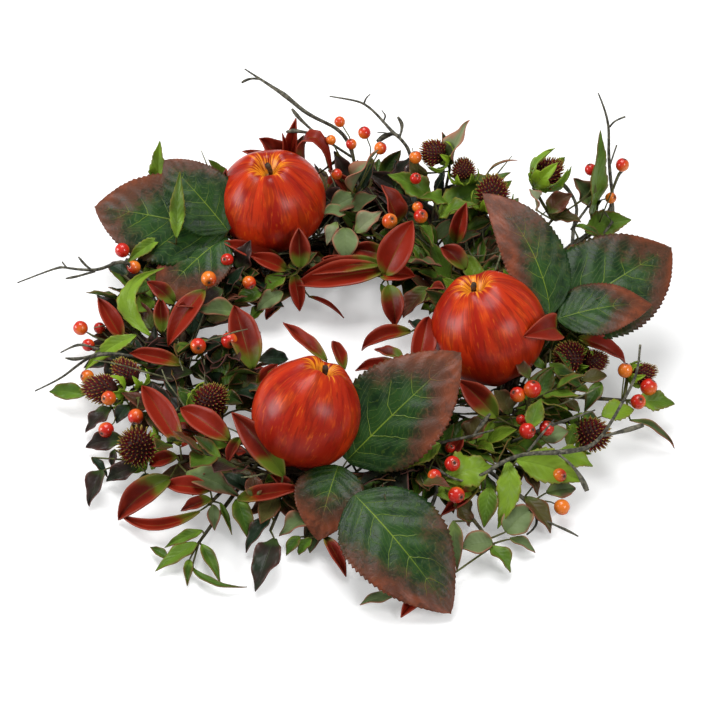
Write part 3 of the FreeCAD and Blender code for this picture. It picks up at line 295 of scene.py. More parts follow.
# %% Read one blade
class Blade:
    """Outline of a leaf: its left and right margins from foot to tip, and the way it faces."""

    def __init__(self, left, right, face, fold):
        self.left, self.right, self.face, self.fold = left, right, face, fold
        self.length = (self.point(1.0, 0.5) - self.point(0.0, 0.5)).length
        self.width = max((a - b).length for a, b in zip(left, right))

    def margins(self, along):
        spot = min(max(along, 0.0), 1.0) * (len(self.left) - 1)
        index = min(int(spot), len(self.left) - 2)
        share = spot - index
        return (self.left[index].lerp(self.left[index + 1], share),
                self.right[index].lerp(self.right[index + 1], share))

    def point(self, along, across):
        left, right = self.margins(along)
        return left.lerp(right, across)

    def normal(self, along):
        left, right = self.margins(along)
        ahead = self.point(along + 0.05, 0.5) - self.point(along - 0.05, 0.5)
        across = right - left
        normal = across.cross(ahead)
        if normal.length < 1e-12:
            return self.face
        normal.normalize()
        return normal if normal.dot(self.face) > 0 else -normal


def read_blade(island):
    chains = margin_chains(island)
    if len(chains) < 2:
        return None
    first, second = chains
    if (first[0] - second[0]).length > (first[0] - second[-1]).length:
        second = second[::-1]
    if (first[0] - second[0]).length < (first[-1] - second[-1]).length:
        first, second = first[::-1], second[::-1]
    first, second = resampled(first, STATIONS), resampled(second, STATIONS)
    foot = (first[0] + second[0]) / 2
    tip = (first[-1] + second[-1]) / 2
    along = (tip - foot).normalized()
    length = (tip - foot).length
    margin_points = {tuple(round(c, 6) for c in point) for chain in chains for point in chain}
    ribs = [p.co for p in island if tuple(round(c, 6) for c in p.co) not in margin_points
            and 0.3 < (p.co - foot).dot(along) / length < 0.75]
    middle = STATIONS // 2
    across = second[middle] - first[middle]
    face = across.cross(along).normalized()
    lift = 0.0
    if ribs:
        rib = sum(ribs, Vector()) / len(ribs)
        share = (rib - foot).dot(along) / length
        at = min(int(share * (STATIONS - 1)), STATIONS - 1)
        lift = ((first[at] + second[at]) / 2 - rib).dot(face)
    if lift < 0:
        face = -face
    if (first[middle] - second[middle]).dot(face.cross(along)) < 0:
        first, second = second, first
    fold = abs(lift) / max(across.length, 1e-6)
    return Blade(first, second, face, fold)


def blades_of(node):
    mesh = merged_mesh(node)
    found = [read_blade(island) for island in islands(mesh)]
    mesh.free()
    return [blade for blade in found if blade]


LEAF_NODES = {family: sorted(n for n in nodes if n.startswith(family + "_leaves"))
              for family in ("red", "grey", "lime", "green", "dark", "filler")}
blades = {node: blades_of(node) for members in LEAF_NODES.values() for node in members}
for node, found in blades.items():
    print(node, len(found), "blades, mean length",
          round(sum(b.length for b in found) / len(found) / MM, 1), "mm")

# %% [markdown]
# ## Laying a leaf
# A flat grid is bent over each blade. Its two directions become the leaf's UV map, so a finish
# knows how far along and across it is. Teeth, ripples and curled margins are added here.

# %% Bend a grid over a blade
LOWEST = 0.3 * MM    # the middle of a leaf's thickness goes no lower than this
NARROWS_FROM = 0.40    # where along a leaf its narrowing starts
ONE_TURN = 6.28


def lay_leaf(target, blade, tint, rows=12, columns=4, teeth=0, tooth=0.0, curl=0.0,
             ripple=0.0, waves=2.5, hook=0.0, widened=1.0, sharp=0.0, twist=0.0, grown=1.0,
             folded=1.0, relief=None):
    """One leaf, added to a bmesh. Lifts are shares of its width, a hook is one of its length."""
    uv = target.loops.layers.uv.get("leaf") or target.loops.layers.uv.new("leaf")
    tints = target.verts.layers.float.get("tint") or target.verts.layers.float.new("tint")
    grid = bmesh.ops.create_grid(target, x_segments=rows, y_segments=columns, size=0.5)
    points = grid["verts"]
    spots = {point: (point.co.x + 0.5, 0.5 - point.co.y) for point in points}
    for face in {face for point in points for face in point.link_faces}:
        for loop in face.loops:
            loop[uv].uv = spots[loop.vert]
    phase = ONE_TURN * tint
    foot = blade.point(0.0, 0.5)
    spine = (blade.point(1.0, 0.5) - foot).normalized()
    for point, (along, across) in spots.items():
        left, right = blade.margins(along)
        side = 2 * across - 1
        middle, half = (left + right) / 2, (right - left) / 2
        room = 2 * half.length
        taper = 1.0 - 0.85 * max(0.0, along - 0.97) / 0.03
        saw = (along * teeth + 0.15) % 1.0 if teeth else 0.0
        spread = widened * taper * (1 + tooth * (saw - 0.5) * abs(side) ** 6)
        spread *= 1 - sharp * max(0.0, along - NARROWS_FROM)
        rise = folded * blade.fold * room * (1 - abs(side) ** 1.2)
        wave = ripple * room * math.sin(waves * 2 * math.pi * along + phase) * side * side
        lift = -rise + wave + curl * room * abs(side) ** 3 + hook * blade.length * along ** 3
        if relief:
            lift += relief(along, side) * room
        offset = half * (side * spread) + blade.normal(along) * lift
        place = middle + Matrix.Rotation(twist * along, 3, spine) @ offset
        point.co = foot + (place - foot) * grown
        point.co.z = max(point.co.z, LOWEST)
        point[tints] = tint
    return points


# %% [markdown]
# ## Leaf finishes
# Moulded leaves are dyed in one colour and then dusted with others: green at the feet of the
# red ones, pink round the sage and frost ones, rust on the olive ones. Each leaf carries a
# random number, its tint, which shifts its colour a little.

# %% Small-leaf finishes
SMALL_VEINS = 8
SMALL_VEIN_SLANT = 2.0
VEIN_TURN = 6.283
LEAF_BUMP = 0.0006    # in metres


def small_leaf_finish(name, young, old, foot, border, rim, foot_reach=0.25, border_share=0.5,
                      rim_share=0.6, rough=0.42, shine=0.18, ribbed=0.22, creased=4.0, dull=0.0):
    """young and old are the two ends of the tint; dull mixes in grey for an underside.
    creased adds to the fold of the mesh, so that one half of a leaf catches more light."""
    paint = Finish(name, specular_ior_level=shine)
    along, across = paint.along_and_across()
    side = abs(across - 0.5) * 2
    tint = paint.stored("tint")
    blotch = paint.noise(85.0, 3.0)
    grain = paint.noise(420.0, 3.0)
    cloud = blotch - 0.5
    body = paint.blend(paint.step(tint + cloud * 1.1, 0.15, 0.85), young, old)
    edge = paint.step(side + cloud * 1.6 + along * 0.35 + (tint - 0.5) * 0.5, 0.70, 1.25)
    body = paint.blend(edge * border_share, body, border)
    foot_line = along - side * 0.14 + cloud * 0.45 + (0.5 - tint) * 0.30
    body = paint.blend((1 - paint.step(foot_line, 0.0, foot_reach)) * 0.92, body, foot)
    rib = 1 - paint.step(side, 0.02, 0.10)
    body = paint.blend(rib * (1 - along) * 0.35, body, foot)
    body = paint.blend(paint.step(side + (grain - 0.5) * 0.10, 0.86, 0.97) * rim_share, body, rim)
    if dull:
        body = paint.blend(dull, body, (0.10, 0.10, 0.06))
    paint.colour(body)
    paint.rough(rough + (grain - 0.5) * 0.2)
    veins = paint.maths("SINE", (along * SMALL_VEINS - side * SMALL_VEIN_SLANT) * VEIN_TURN)
    paint.bump(side * creased + veins * ribbed - rib * 0.8 + grain * 0.4, LEAF_BUMP, 0.45)
    return paint.material


def leaf_finishes(name, *colours, **dusting):
    """The finish of a leaf's face and a duller one for its back."""
    top = small_leaf_finish(name + "_top", *colours, **dusting)
    back = dict(dusting, dull=0.22, rough=0.6, shine=0.10, creased=0.0)
    return top, small_leaf_finish(name + "_back", *colours, **back)


# Colours: young, old, foot, border, rim.
FINISHES = {
    "red": leaf_finishes("red_leaf", (0.235, 0.016, 0.006), (0.095, 0.007, 0.003),
                         (0.095, 0.150, 0.014), (0.28, 0.028, 0.012), (0.42, 0.12, 0.07),
                         foot_reach=0.26, rim_share=0.22, rough=0.38, shine=0.16,
                         ribbed=0.04, creased=7.0),
    "sage": leaf_finishes("sage_leaf", (0.150, 0.205, 0.085), (0.065, 0.095, 0.032),
                          (0.140, 0.200, 0.055), (0.170, 0.080, 0.045), (0.36, 0.11, 0.07),
                          border_share=0.8, rim_share=0.55, rough=0.48, shine=0.14, ribbed=0.10),
    "frost": leaf_finishes("frost_leaf", (0.330, 0.370, 0.215), (0.190, 0.230, 0.110),
                           (0.160, 0.230, 0.060), (0.330, 0.140, 0.090), (0.42, 0.14, 0.09),
                           border_share=0.75, rough=0.5, shine=0.14, ribbed=0.10),
    "lime": leaf_finishes("lime_leaf", (0.170, 0.275, 0.020), (0.080, 0.150, 0.013),
                          (0.170, 0.290, 0.026), (0.150, 0.140, 0.022), (0.24, 0.12, 0.03),
                          border_share=0.4, rim_share=0.35, rough=0.40),
    "green": leaf_finishes("green_leaf", (0.070, 0.140, 0.013), (0.026, 0.058, 0.010),
                           (0.100, 0.180, 0.020), (0.100, 0.045, 0.016), (0.20, 0.06, 0.025),
                           border_share=0.45, rim_share=0.5, rough=0.38, shine=0.20),
    "dark": leaf_finishes("dark_leaf", (0.012, 0.028, 0.013), (0.026, 0.017, 0.014),
                          (0.035, 0.060, 0.014), (0.050, 0.020, 0.016), (0.17, 0.05, 0.04),
                          rim_share=0.40, rough=0.40, ribbed=0.10),
    "olive": leaf_finishes("olive_leaf", (0.075, 0.065, 0.018), (0.075, 0.030, 0.014),
                           (0.075, 0.110, 0.020), (0.120, 0.030, 0.018), (0.26, 0.08, 0.04),
                           border_share=0.6, rim_share=0.4),
    "spring": leaf_finishes("spring_leaf", (0.110, 0.200, 0.018), (0.045, 0.100, 0.012),
                            (0.150, 0.260, 0.025), (0.120, 0.070, 0.020), (0.24, 0.08, 0.03),
                            border_share=0.4, rim_share=0.45, rough=0.40),
    "sepal": leaf_finishes("sepal", (0.240, 0.400, 0.022), (0.130, 0.260, 0.016),
                           (0.200, 0.360, 0.025), (0.220, 0.300, 0.025), (0.30, 0.30, 0.05),
                           border_share=0.4, rim_share=0.3, rough=0.40),
}


# %% Lay leaves of several kinds
CURL_SPREAD = 0.05
HOOK_SPREAD = 0.06


def thicken(piece, thickness, backs):
    """Make a sheet solid, its back faces finished with the materials that follow the fronts."""
    thick = piece.modifiers.new("thickness", "SOLIDIFY")
    thick.thickness = thickness
    thick.offset = 0.0
    thick.material_offset = backs


def foliage(name, found, kinds, replaced, seed, thickness=0.5 * MM, **shape):
    """One piece of small leaves, each with the finish of its kind and a twist of its own."""
    used = sorted(set(kinds))
    chance = random.Random(seed)
    target = bmesh.new()
    for blade, kind in zip(found, kinds):
        own = dict(shape)
        own["ripple"] = shape.get("ripple", 0.0) * chance.uniform(0.4, 1.5)
        own["curl"] = shape.get("curl", 0.0) + chance.uniform(-CURL_SPREAD, CURL_SPREAD)
        own["hook"] = shape.get("hook", 0.0) + chance.uniform(-HOOK_SPREAD, HOOK_SPREAD)
        own["twist"] = shape.get("twist", 0.0) * chance.uniform(-1.0, 1.0)
        points = lay_leaf(target, blade, chance.random(), **own)
        for face in {face for point in points for face in point.link_faces}:
            face.material_index = used.index(kind)
    materials = [FINISHES[kind][0] for kind in used] + [FINISHES[kind][1] for kind in used]
    piece = new_piece(name, target, materials, replaced)
    thicken(piece, thickness, len(used))
    print(name, len(found), "leaves")


# %% Lay the small leaves of the sprays
SHAPES = {
    "red": dict(thickness=0.9 * MM, rows=20, columns=8, curl=0.05, ripple=0.04, sharp=0.55,
                twist=0.5, folded=1.5),
    "grey": dict(thickness=0.6 * MM, rows=20, columns=8, curl=0.04, ripple=0.17, waves=1.6, sharp=0.35,
                 twist=0.6, folded=1.4),
    "lime": dict(thickness=0.6 * MM, rows=40, columns=8, teeth=10, tooth=0.14, ripple=0.12,
                 widened=1.08, sharp=0.2, twist=0.5, folded=1.3),
    "green": dict(thickness=0.6 * MM, rows=18, columns=6, ripple=0.10, widened=0.92, sharp=0.5,
                  twist=0.6, folded=1.4),
    "dark": dict(thickness=0.6 * MM, rows=18, columns=6, ripple=0.11, sharp=0.3, twist=0.6,
                 folded=1.4),
}
# Kinds of a family's leaves, and of single nodes that differ from their family.
KINDS = {
    "red": ["red"], "grey": ["sage"], "lime": ["lime"], "green": ["green"], "dark": ["dark"],
    "lime_leaves_back": ["lime", "spring", "spring"],
    "green_leaves_hole": ["green", "sage", "spring"],
    "green_leaves_right": ["green", "spring", "olive"],
    "green_leaves_front_left": ["spring", "spring", "green"],
    "dark_leaves_back": ["dark", "dark", "olive"],
    "dark_leaves_front": ["dark", "dark", "olive"],
    "grey_leaves_back": ["sage", "sage", "frost"],
    "grey_leaves_front_right": ["sage", "frost", "spring", "sage", "olive"],
}
# Dark leaves to the right of one line, and grey ones to the left of another, take other kinds.
RIGHT_KINDS = ["olive", "sage"]
DARK_ENDS = 60 * MM
GREY_STARTS = -140 * MM
for seed, (family, shape) in enumerate(SHAPES.items()):
    for node in LEAF_NODES[family]:
        chance = random.Random(40 + len(node))
        kinds = []
        for blade in blades[node]:
            place = blade.point(0.0, 0.5).x
            choices = KINDS.get(node, KINDS[family])
            if family == "dark" and place > DARK_ENDS:
                choices = RIGHT_KINDS
            if family == "grey" and place < GREY_STARTS:
                choices = KINDS["dark"]
            kinds.append(chance.choice(choices))
        foliage(node + "_laid", blades[node], kinds, [node], 100 * seed + len(node), **shape)

# %% [markdown]
# ## Filling leaves
# Round the ring the mix of leaves changes: olive and dark at the back, mostly dark on the left,
# dark and green in front, green and olive to the right. One function picks the kind of leaf for
# a place. A leaf is left out where it would run into an apple, a large leaf or a red or lime
# one, where it would lie over an apple or a large leaf, or where its outer half would come
# close to one.

# %% What grows where
MIXES = {
    "right": {"green": 4, "dark": 1, "lime": 1, "spring": 4, "olive": 4, "sage": 2},
    "back": {"olive": 4, "dark": 3, "green": 3, "sage": 2, "spring": 1, "red": 1},
    "left": {"dark": 6, "olive": 3, "green": 2, "red": 1, "spring": 1},
    "front": {"dark": 4, "green": 4, "olive": 3, "red": 1, "sage": 2},
}
CLUSTER = 24 * MM
FILLER_GROWTH = 1.45


def kind_at(place):
    """The kind of leaf that grows at a place. Leaves of one small patch are of one kind."""
    patch = place + Vector((0.4, 0.7, 0.2)) * (7 * MM * noise.noise(place / (9 * MM)))
    cell = Vector([math.floor(part / CLUSTER) for part in patch])
    turn = math.atan2(cell.y + 0.5, cell.x + 0.5)
    mix = MIXES[list(MIXES)[round(turn / (math.pi / 2)) % 4]]
    return random.Random(str(cell)).choices(list(mix), list(mix.values()))[0]


def tree_of(members):
    whole = bmesh.new()
    for node in members:
        whole.from_mesh(nodes[node].data)
    tree = BVHTree.FromBMesh(whole)
    whole.free()
    return tree


APPLES = ["apple_back_left", "apple_right", "apple_front"]
LARGE_LEAVES = sorted(node for node in nodes if node.startswith("big_leaf"))
BRIGHT_LEAVES = sorted(n for n in nodes if n.startswith(("red_leaves", "lime_leaves")))
solid_tree = tree_of(APPLES + LARGE_LEAVES + BRIGHT_LEAVES)
large_tree = tree_of(APPLES + LARGE_LEAVES)
TIP_GAP = 4 * MM    # between a filling leaf's outer half and an apple or a large leaf
OUTER_PART = 0.4
COVER = 40 * MM    # how far below a filling leaf an apple or a large leaf is looked for
TRIED_ALONG = (0.25, 0.5, 0.75, 1.0)
TRIED_ACROSS = (0.0, 0.5, 1.0)


def stays_free(blade):
    """Whether a grown filling leaf misses the apples and the large, red and lime leaves."""
    foot = blade.point(0.0, 0.5)
    for across in TRIED_ACROSS:
        before = foot
        for along in TRIED_ALONG:
            place = foot + (blade.point(along, across) - foot) * FILLER_GROWTH
            run = place - before
            if solid_tree.ray_cast(before, run.normalized(), run.length + MM)[0]:
                return False
            if along > OUTER_PART and large_tree.find_nearest(place, TIP_GAP)[0]:
                return False
            if large_tree.ray_cast(place, Vector((0, 0, -1)), COVER)[0]:
                return False
            before = place
    return True


# %% Lay the filling leaves
for seed, node in enumerate(LEAF_NODES["filler"]):
    kept = [blade for blade in blades[node] if stays_free(blade)]
    kinds = [kind_at(blade.point(0.0, 0.5)) for blade in kept]
    foliage(node + "_laid", kept, kinds, [node], seed, rows=8, columns=4, curl=0.03, ripple=0.09,
            widened=1.12, sharp=0.3, twist=0.7, grown=FILLER_GROWTH, folded=1.4)

# %% [markdown]
# ## The large leaves
# These are stiffened cloth, printed dark green that turns rust towards the tip and margins,
# with raised yellow-green veins. The blade puffs up between the veins and its margin is
# toothed, so the grid is fine enough to carry both.

# %% Veins of a large leaf
VEIN_PAIRS = 7
VEIN_SLANT = 0.27
VEIN_CURVE = 1.25


def quilt(along, side):
    """Relief of a large leaf as a share of its width: puffed between veins, grooved at them."""
    phase = (along - VEIN_SLANT * abs(side) ** VEIN_CURVE) * VEIN_PAIRS
    puff = 0.5 - 0.5 * math.cos(2 * math.pi * phase)
    fade = min(1.0, 6 * abs(side)) * min(1.0, 4 * (1 - abs(side))) * min(1.0, 8 * (1 - along))
    groove = math.exp(-(side / 0.05) ** 2)
    return 0.013 * puff * fade - 0.012 * groove * (1 - along)


def large_leaf_finish(name, shine, dull=0.0):
    paint = Finish(name, specular_ior_level=shine)
    along, across = paint.along_and_across()
    side = abs(across - 0.5) * 2
    blush = paint.stored("blush")
    cloud = paint.noise(34.0, 4.0) - 0.5
    mottle = paint.noise(110.0, 5.0) - 0.5
    fine = paint.noise(520.0, 3.0) - 0.5
    phase = (along - (side ** VEIN_CURVE) * VEIN_SLANT) * VEIN_PAIRS + cloud * 0.9 + mottle * 0.16
    gap = abs(phase - paint.maths("ROUND", phase))
    reach = 1 - paint.step(side + cloud * 1.4 + along * 0.35, 0.40, 0.90)
    laterals = (1 - paint.step(gap, 0.004, 0.028)) * reach
    midrib = (1 - paint.step(side + along * 0.010, 0.008, 0.024)) * (1 - paint.step(along, 0.35, 0.85) * 0.7)
    cross_phase = side * 9 + cloud * 6.0 + gap * 2.5
    cross_gap = abs(cross_phase - paint.maths("ROUND", cross_phase))
    crossings = (1 - paint.step(cross_gap, 0.02, 0.10)) * paint.step(gap, 0.02, 0.10)
    near_rib = 1 - paint.step(side + along * 0.4, 0.0, 0.9)
    green = paint.blend(paint.step(mottle + fine * 0.4 + near_rib * 0.25, -0.16, 0.28),
                        (0.004, 0.021, 0.004), (0.018, 0.060, 0.008))
    rust = paint.blend(paint.step(mottle + fine * 0.5, -0.15, 0.18),
                       (0.185, 0.046, 0.018), (0.095, 0.028, 0.013))
    brown = paint.blend(paint.step(mottle + fine, -0.2, 0.2), (0.040, 0.024, 0.012), (0.078, 0.032, 0.017))
    turning = blush + cloud * 0.95 + mottle * 0.40 + fine * 0.25
    body = paint.blend(paint.step(turning, 0.24, 0.60), green, brown)
    body = paint.blend(paint.step(turning, 0.52, 1.00), body, rust)
    turned = paint.step(turning, 0.25, 0.70)
    vein_colour = paint.blend(turned * 0.9, (0.17, 0.25, 0.018), (0.19, 0.060, 0.022))
    body = paint.blend(crossings * 0.14, body, vein_colour)
    body = paint.blend(laterals * 0.70, body, vein_colour)
    body = paint.blend(midrib * 0.92, body, vein_colour)
    if dull:
        body = paint.blend(dull, body, (0.060, 0.085, 0.030))
    paint.colour(body)
    paint.rough(0.40 + mottle * 0.25)
    veins = paint.maths("MAXIMUM", laterals, midrib)
    paint.bump(veins * 0.8 + crossings * 0.3 + mottle * 1.0 + fine * 0.5, LEAF_BUMP, 0.4)
    return paint.material


large_top = large_leaf_finish("large_leaf_top", 0.22)
large_under = large_leaf_finish("large_leaf_under", 0.12, dull=0.5)

# %% Lay the large leaves
LARGE_THICKNESS = 0.7 * MM
# How much each one has turned: at the tip, the left margin, the right margin, the foot. Then how
# wide it is beside its solid, and how much its outer half narrows.
LARGE = {
    "big_leaf_left_upper": (0.7, 0.4, 0.7, 0.0, 1.0, 0.0),
    "big_leaf_left_back": (0.6, 0.1, 0.5, -0.05, 1.0, 0.0),
    "big_leaf_left_lower": (1.4, 0.9, 0.9, 0.0, 1.0, 0.1),
    "big_leaf_front_upright": (1.2, 0.5, 1.0, -0.05, 0.92, 0.10),
    "big_leaf_front_small": (1.8, 0.6, 0.6, -0.05, 1.0, 0.15),
    "big_leaf_front_low": (0.9, 0.3, 1.0, -0.05, 1.0, 0.12),
    "big_leaf_right_upright": (1.3, 1.9, 0.1, 0.05, 1.0, 0.15),
    "big_leaf_right_back": (0.7, 0.5, 0.7, -0.05, 1.0, 0.0),
    "big_leaf_right_front": (1.6, 0.7, 0.7, -0.05, 1.0, 0.25),
}
for index, (node, row) in enumerate(sorted(LARGE.items())):
    tip, left, right, foot, widened, sharp = row
    (blade,) = blades_of(node)
    target = bmesh.new()
    blushes = target.verts.layers.float.new("blush")
    lay_leaf(target, blade, 0.13 + 0.1 * index, rows=168, columns=26, teeth=34, tooth=0.055,
             curl=-0.03, ripple=0.02, waves=2.0, widened=widened, sharp=sharp, relief=quilt)
    uv = target.loops.layers.uv["leaf"]
    for face in target.faces:
        for loop in face.loops:
            along, across = loop[uv].uv
            side = 2 * across - 1
            edge = (left if side < 0 else right) * abs(side) ** 2
            loop.vert[blushes] = tip * along ** 2.2 + edge * min(1.0, 0.25 + along) + foot
    piece = new_piece(node + "_laid", target, [large_top, large_under], [node])
    thicken(piece, LARGE_THICKNESS, 1)
    print(piece.name, "length", round(blade.length / MM), "width", round(blade.width / MM))

# %% [markdown]
# ## Stems and twigs
# The solid stems are straight runs with flat sides. A copy is merged and its triangles are
# paired into quads, its ends are creased so that they stay in place, and subdivision rounds
# the rest into gentle bends and swelling buds.

# %% Round off tubes
END_FOLD = math.radians(65)


def rounded_tubes(name, members, material, levels):
    whole = merged_mesh(*members)
    bmesh.ops.dissolve_limit(whole, angle_limit=math.radians(1.5), verts=whole.verts,
                             edges=whole.edges, use_dissolve_boundaries=False)
    bmesh.ops.join_triangles(whole, faces=whole.faces, angle_face_threshold=math.radians(25),
                             angle_shape_threshold=math.radians(175))
    crease = whole.edges.layers.float.new("crease_edge")
    for edge in whole.edges:
        if len(edge.link_faces) == 2 and edge.calc_face_angle() > END_FOLD:
            edge[crease] = 1.0
    piece = new_piece(name, whole, [material], members)
    rounding = piece.modifiers.new("rounding", "SUBSURF")
    rounding.levels = levels
    rounding.render_levels = levels
    print(name, len(piece.data.polygons), "faces before rounding")


def bark_finish(name, light, dark, rough, scale, depth):
    paint = Finish(name, specular_ior_level=0.25)
    grain = paint.noise(scale, 5.0)
    coarse = paint.noise(scale * 0.2, 3.0)
    colour = paint.blend(paint.step(grain, 0.35, 0.68), dark, light)
    paint.colour(paint.blend(paint.step(coarse, 0.4, 0.7) * 0.5, colour, dark))
    paint.rough(rough + (grain - 0.5) * 0.2)
    paint.bump(grain + coarse, depth, 0.6)
    return paint.material


twig_bark = bark_finish("twig_bark", (0.170, 0.160, 0.115), (0.034, 0.033, 0.024), 0.70, 420.0, 0.0007)
pale_bark = bark_finish("pale_bark", (0.200, 0.210, 0.110), (0.075, 0.070, 0.035), 0.62, 420.0, 0.0004)
stem_bark = bark_finish("stem_bark", (0.100, 0.085, 0.032), (0.032, 0.028, 0.012), 0.6, 300.0, 0.0004)
green_rind = bark_finish("green_rind", (0.100, 0.120, 0.022), (0.060, 0.052, 0.014), 0.5, 260.0, 0.0003)
wire_paint = bark_finish("wire_paint", (0.025, 0.045, 0.015), (0.012, 0.022, 0.008), 0.45, 500.0, 0.0002)
vine_bark = bark_finish("vine_bark", (0.085, 0.050, 0.024), (0.026, 0.015, 0.008), 0.75, 260.0, 0.0010)

TUBES = {
    "twigs_rounded": (["twig_left", "twig_back_left", "twig_back_right", "twig_right_front"],
                      twig_bark, 2),
    "stems_rounded": (["stems_back", "stems_left", "stems_front", "stems_right",
                       "filler_stems"], stem_bark, 1),
    "stalks_rounded": (["leaf_stalks", "berry_stems", "pod_stems"], green_rind, 1),
}
for name, plan in TUBES.items():
    rounded_tubes(name, *plan)

# %% [markdown]
# ## Apples
# An apple is a ball with a pit pushed into its top and a dimple into its heel, five soft lobes
# round the rims, and a shoulder wider than its foot. A UV sphere is reshaped that way and then
# turned onto the axis of its solid. Each point keeps where it was on the upright apple, so
# that the painted streaks run from stalk to heel.

# %% Axis and size of a solid apple
def stalk_line(apple_centre):
    """Foot and top of the solid stalk that stands nearest to an apple."""
    mesh = merged_mesh("apple_stems")
    best = min(islands(mesh), key=lambda island: (island[0].co - apple_centre).length)
    points = [point.co.copy() for point in best]
    mesh.free()
    middle = sum(points, Vector()) / len(points)
    points.sort(key=lambda p: (p - apple_centre).length)
    quarter = max(3, len(points) // 4)
    foot = sum(points[:quarter], Vector()) / quarter
    top = sum(points[-quarter:], Vector()) / quarter
    axis = (top - foot).normalized()
    reach = [(p - middle).dot(axis) for p in points]
    return middle + axis * min(reach), middle + axis * max(reach)


def apple_place(node):
    """Centre, axis, radius and half height of a solid apple."""
    points = [Vector(v.co) for v in nodes[node].data.vertices]
    low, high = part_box(node)
    foot, top = stalk_line((low + high) / 2)
    axis = (top - foot).normalized()
    rise = [(p - foot).dot(axis) for p in points]
    radius = max(((p - foot) - axis * h).length for p, h in zip(points, rise))
    centre = foot + axis * ((max(rise) + min(rise)) / 2)
    return centre, axis, radius, (max(rise) - min(rise)) / 2


# %% Shape an apple
APPLE_LOBES = 5
PIT = 0.19
HEEL = 0.18
RIM = 0.42
RIM_WIDTH = 0.22


def apple_point(way, tallness, seed):
    """Where a point of the unit ball goes on an apple of radius 1."""
    round_about = math.atan2(way.y, way.x)
    out = math.hypot(way.x, way.y)
    lobe = math.cos(APPLE_LOBES * round_about + 0.7 * math.sin(round_about + seed) + seed)
    pit = math.exp(-(out / PIT) ** 2) if way.z > 0 else 0.0
    heel = math.exp(-(out / HEEL) ** 2) if way.z < 0 else 0.0
    rim = math.exp(-((out - RIM) / RIM_WIDTH) ** 2)
    up = way.z * tallness * 0.985
    up += (0.03 * rim - 0.30 * pit) if way.z > 0 else 0.20 * heel
    up += 0.030 * lobe * rim * (1 if way.z > 0 else -1)
    wide = out * (0.98 + 0.02 * way.z) * (1 + 0.012 * lobe * (0.3 + abs(way.z)))
    wide += 0.02 * noise.noise(way * 1.4 + Vector((seed, 0, 0)))
    return Vector((math.cos(round_about) * wide, math.sin(round_about) * wide, up))


def make_apple(node, material, seed):
    centre, axis, radius, half_height = apple_place(node)
    turn = Vector((0, 0, 1)).rotation_difference(axis).to_matrix()
    target = bmesh.new()
    bmesh.ops.create_uvsphere(target, u_segments=144, v_segments=96, radius=1.0)
    local = target.verts.layers.float_vector.new("upright")
    for point in target.verts:
        shaped = apple_point(point.co.normalized(), half_height / radius, seed)
        point[local] = shaped
        point.co = centre + turn @ (shaped * radius)
    piece = new_piece(node + "_skin", target, [material], [node])
    print(piece.name, "radius", round(radius / MM, 1), "half height", round(half_height / MM, 1), "mm")
    return centre, axis


# %% Apple skin
def apple_finish(seed):
    """Orange and red lacquer, streaked from pit to heel, under a soft gloss, with painted shade towards the
    heel and at the bottom of the stalk pit.
    """
    paint = Finish(f"apple_skin_{seed}", coat_weight=0.16, coat_roughness=0.24,
                   specular_ior_level=0.12)
    upright = paint.stored_vector("upright")
    x, y, z = paint.parts(upright)
    out = (x * x + y * y) ** 0.5
    ring = paint.node("ShaderNodeCombineXYZ", None,
                      {0: x / (out + 0.02), 1: y / (out + 0.02), 2: z * 0.20 + seed * 3.7})
    around = ring.outputs[0]
    broad = paint.noise(2.6, 3.0, around)
    streaks = paint.noise(9.0, 5.0, around, 0.25)
    threads = paint.noise(26.0, 4.0, around, 0.15)
    cloud = paint.noise(2.3, 2.0, upright)
    dots = paint.noise(60.0, 2.0, upright)
    red = paint.blend(paint.step(broad, 0.40, 0.62), (0.47, 0.028, 0.004), (0.31, 0.010, 0.003))
    glow = paint.step(cloud + (streaks - 0.5) * 0.9, 0.54, 0.78)
    body = paint.blend(glow * 0.66, red, (0.72, 0.090, 0.006))
    dark = paint.step(streaks + (threads - 0.5) * 0.5, 0.49, 0.62)
    body = paint.blend(dark * 0.62, body, (0.190, 0.006, 0.002))
    body = paint.blend(paint.step(threads, 0.56, 0.68) * (1 - dark) * 0.40, body, (0.82, 0.160, 0.010))
    # Painted shade: the skin darkens towards the heel, as if that half lay in the apple's own shadow.
    body = paint.blend((1 - paint.step(z, -0.80, 0.05)) * 0.60, body, (0.20, 0.008, 0.002))
    near_pit = paint.step(z, 0.2, 0.5)
    rays = (1 - paint.step(out + (streaks - 0.5) * 1.1 + (threads - 0.5) * 0.4, 0.10, 0.34)) * near_pit
    body = paint.blend(rays * 0.85, body, (0.90, 0.34, 0.016))
    # Painted shade: the bottom of the stalk pit is darkened, where its own walls shade it.
    pit_shade = (1 - paint.step(out, 0.03, 0.12)) * near_pit
    body = paint.blend(pit_shade * 0.8, body, (0.06, 0.025, 0.006))
    body = paint.blend(paint.step(dots, 0.66, 0.74) * 0.25, body, (0.10, 0.006, 0.003))
    paint.colour(body)
    paint.rough(0.34 + (threads - 0.5) * 0.14)
    paint.bump(streaks * 0.5 + threads * 0.6 + dots * 0.3, 0.0005, 0.25)
    return paint.material


apple_places = {}
for seed, node in enumerate(APPLES, start=1):
    apple_places[node] = make_apple(node, apple_finish(seed), seed)

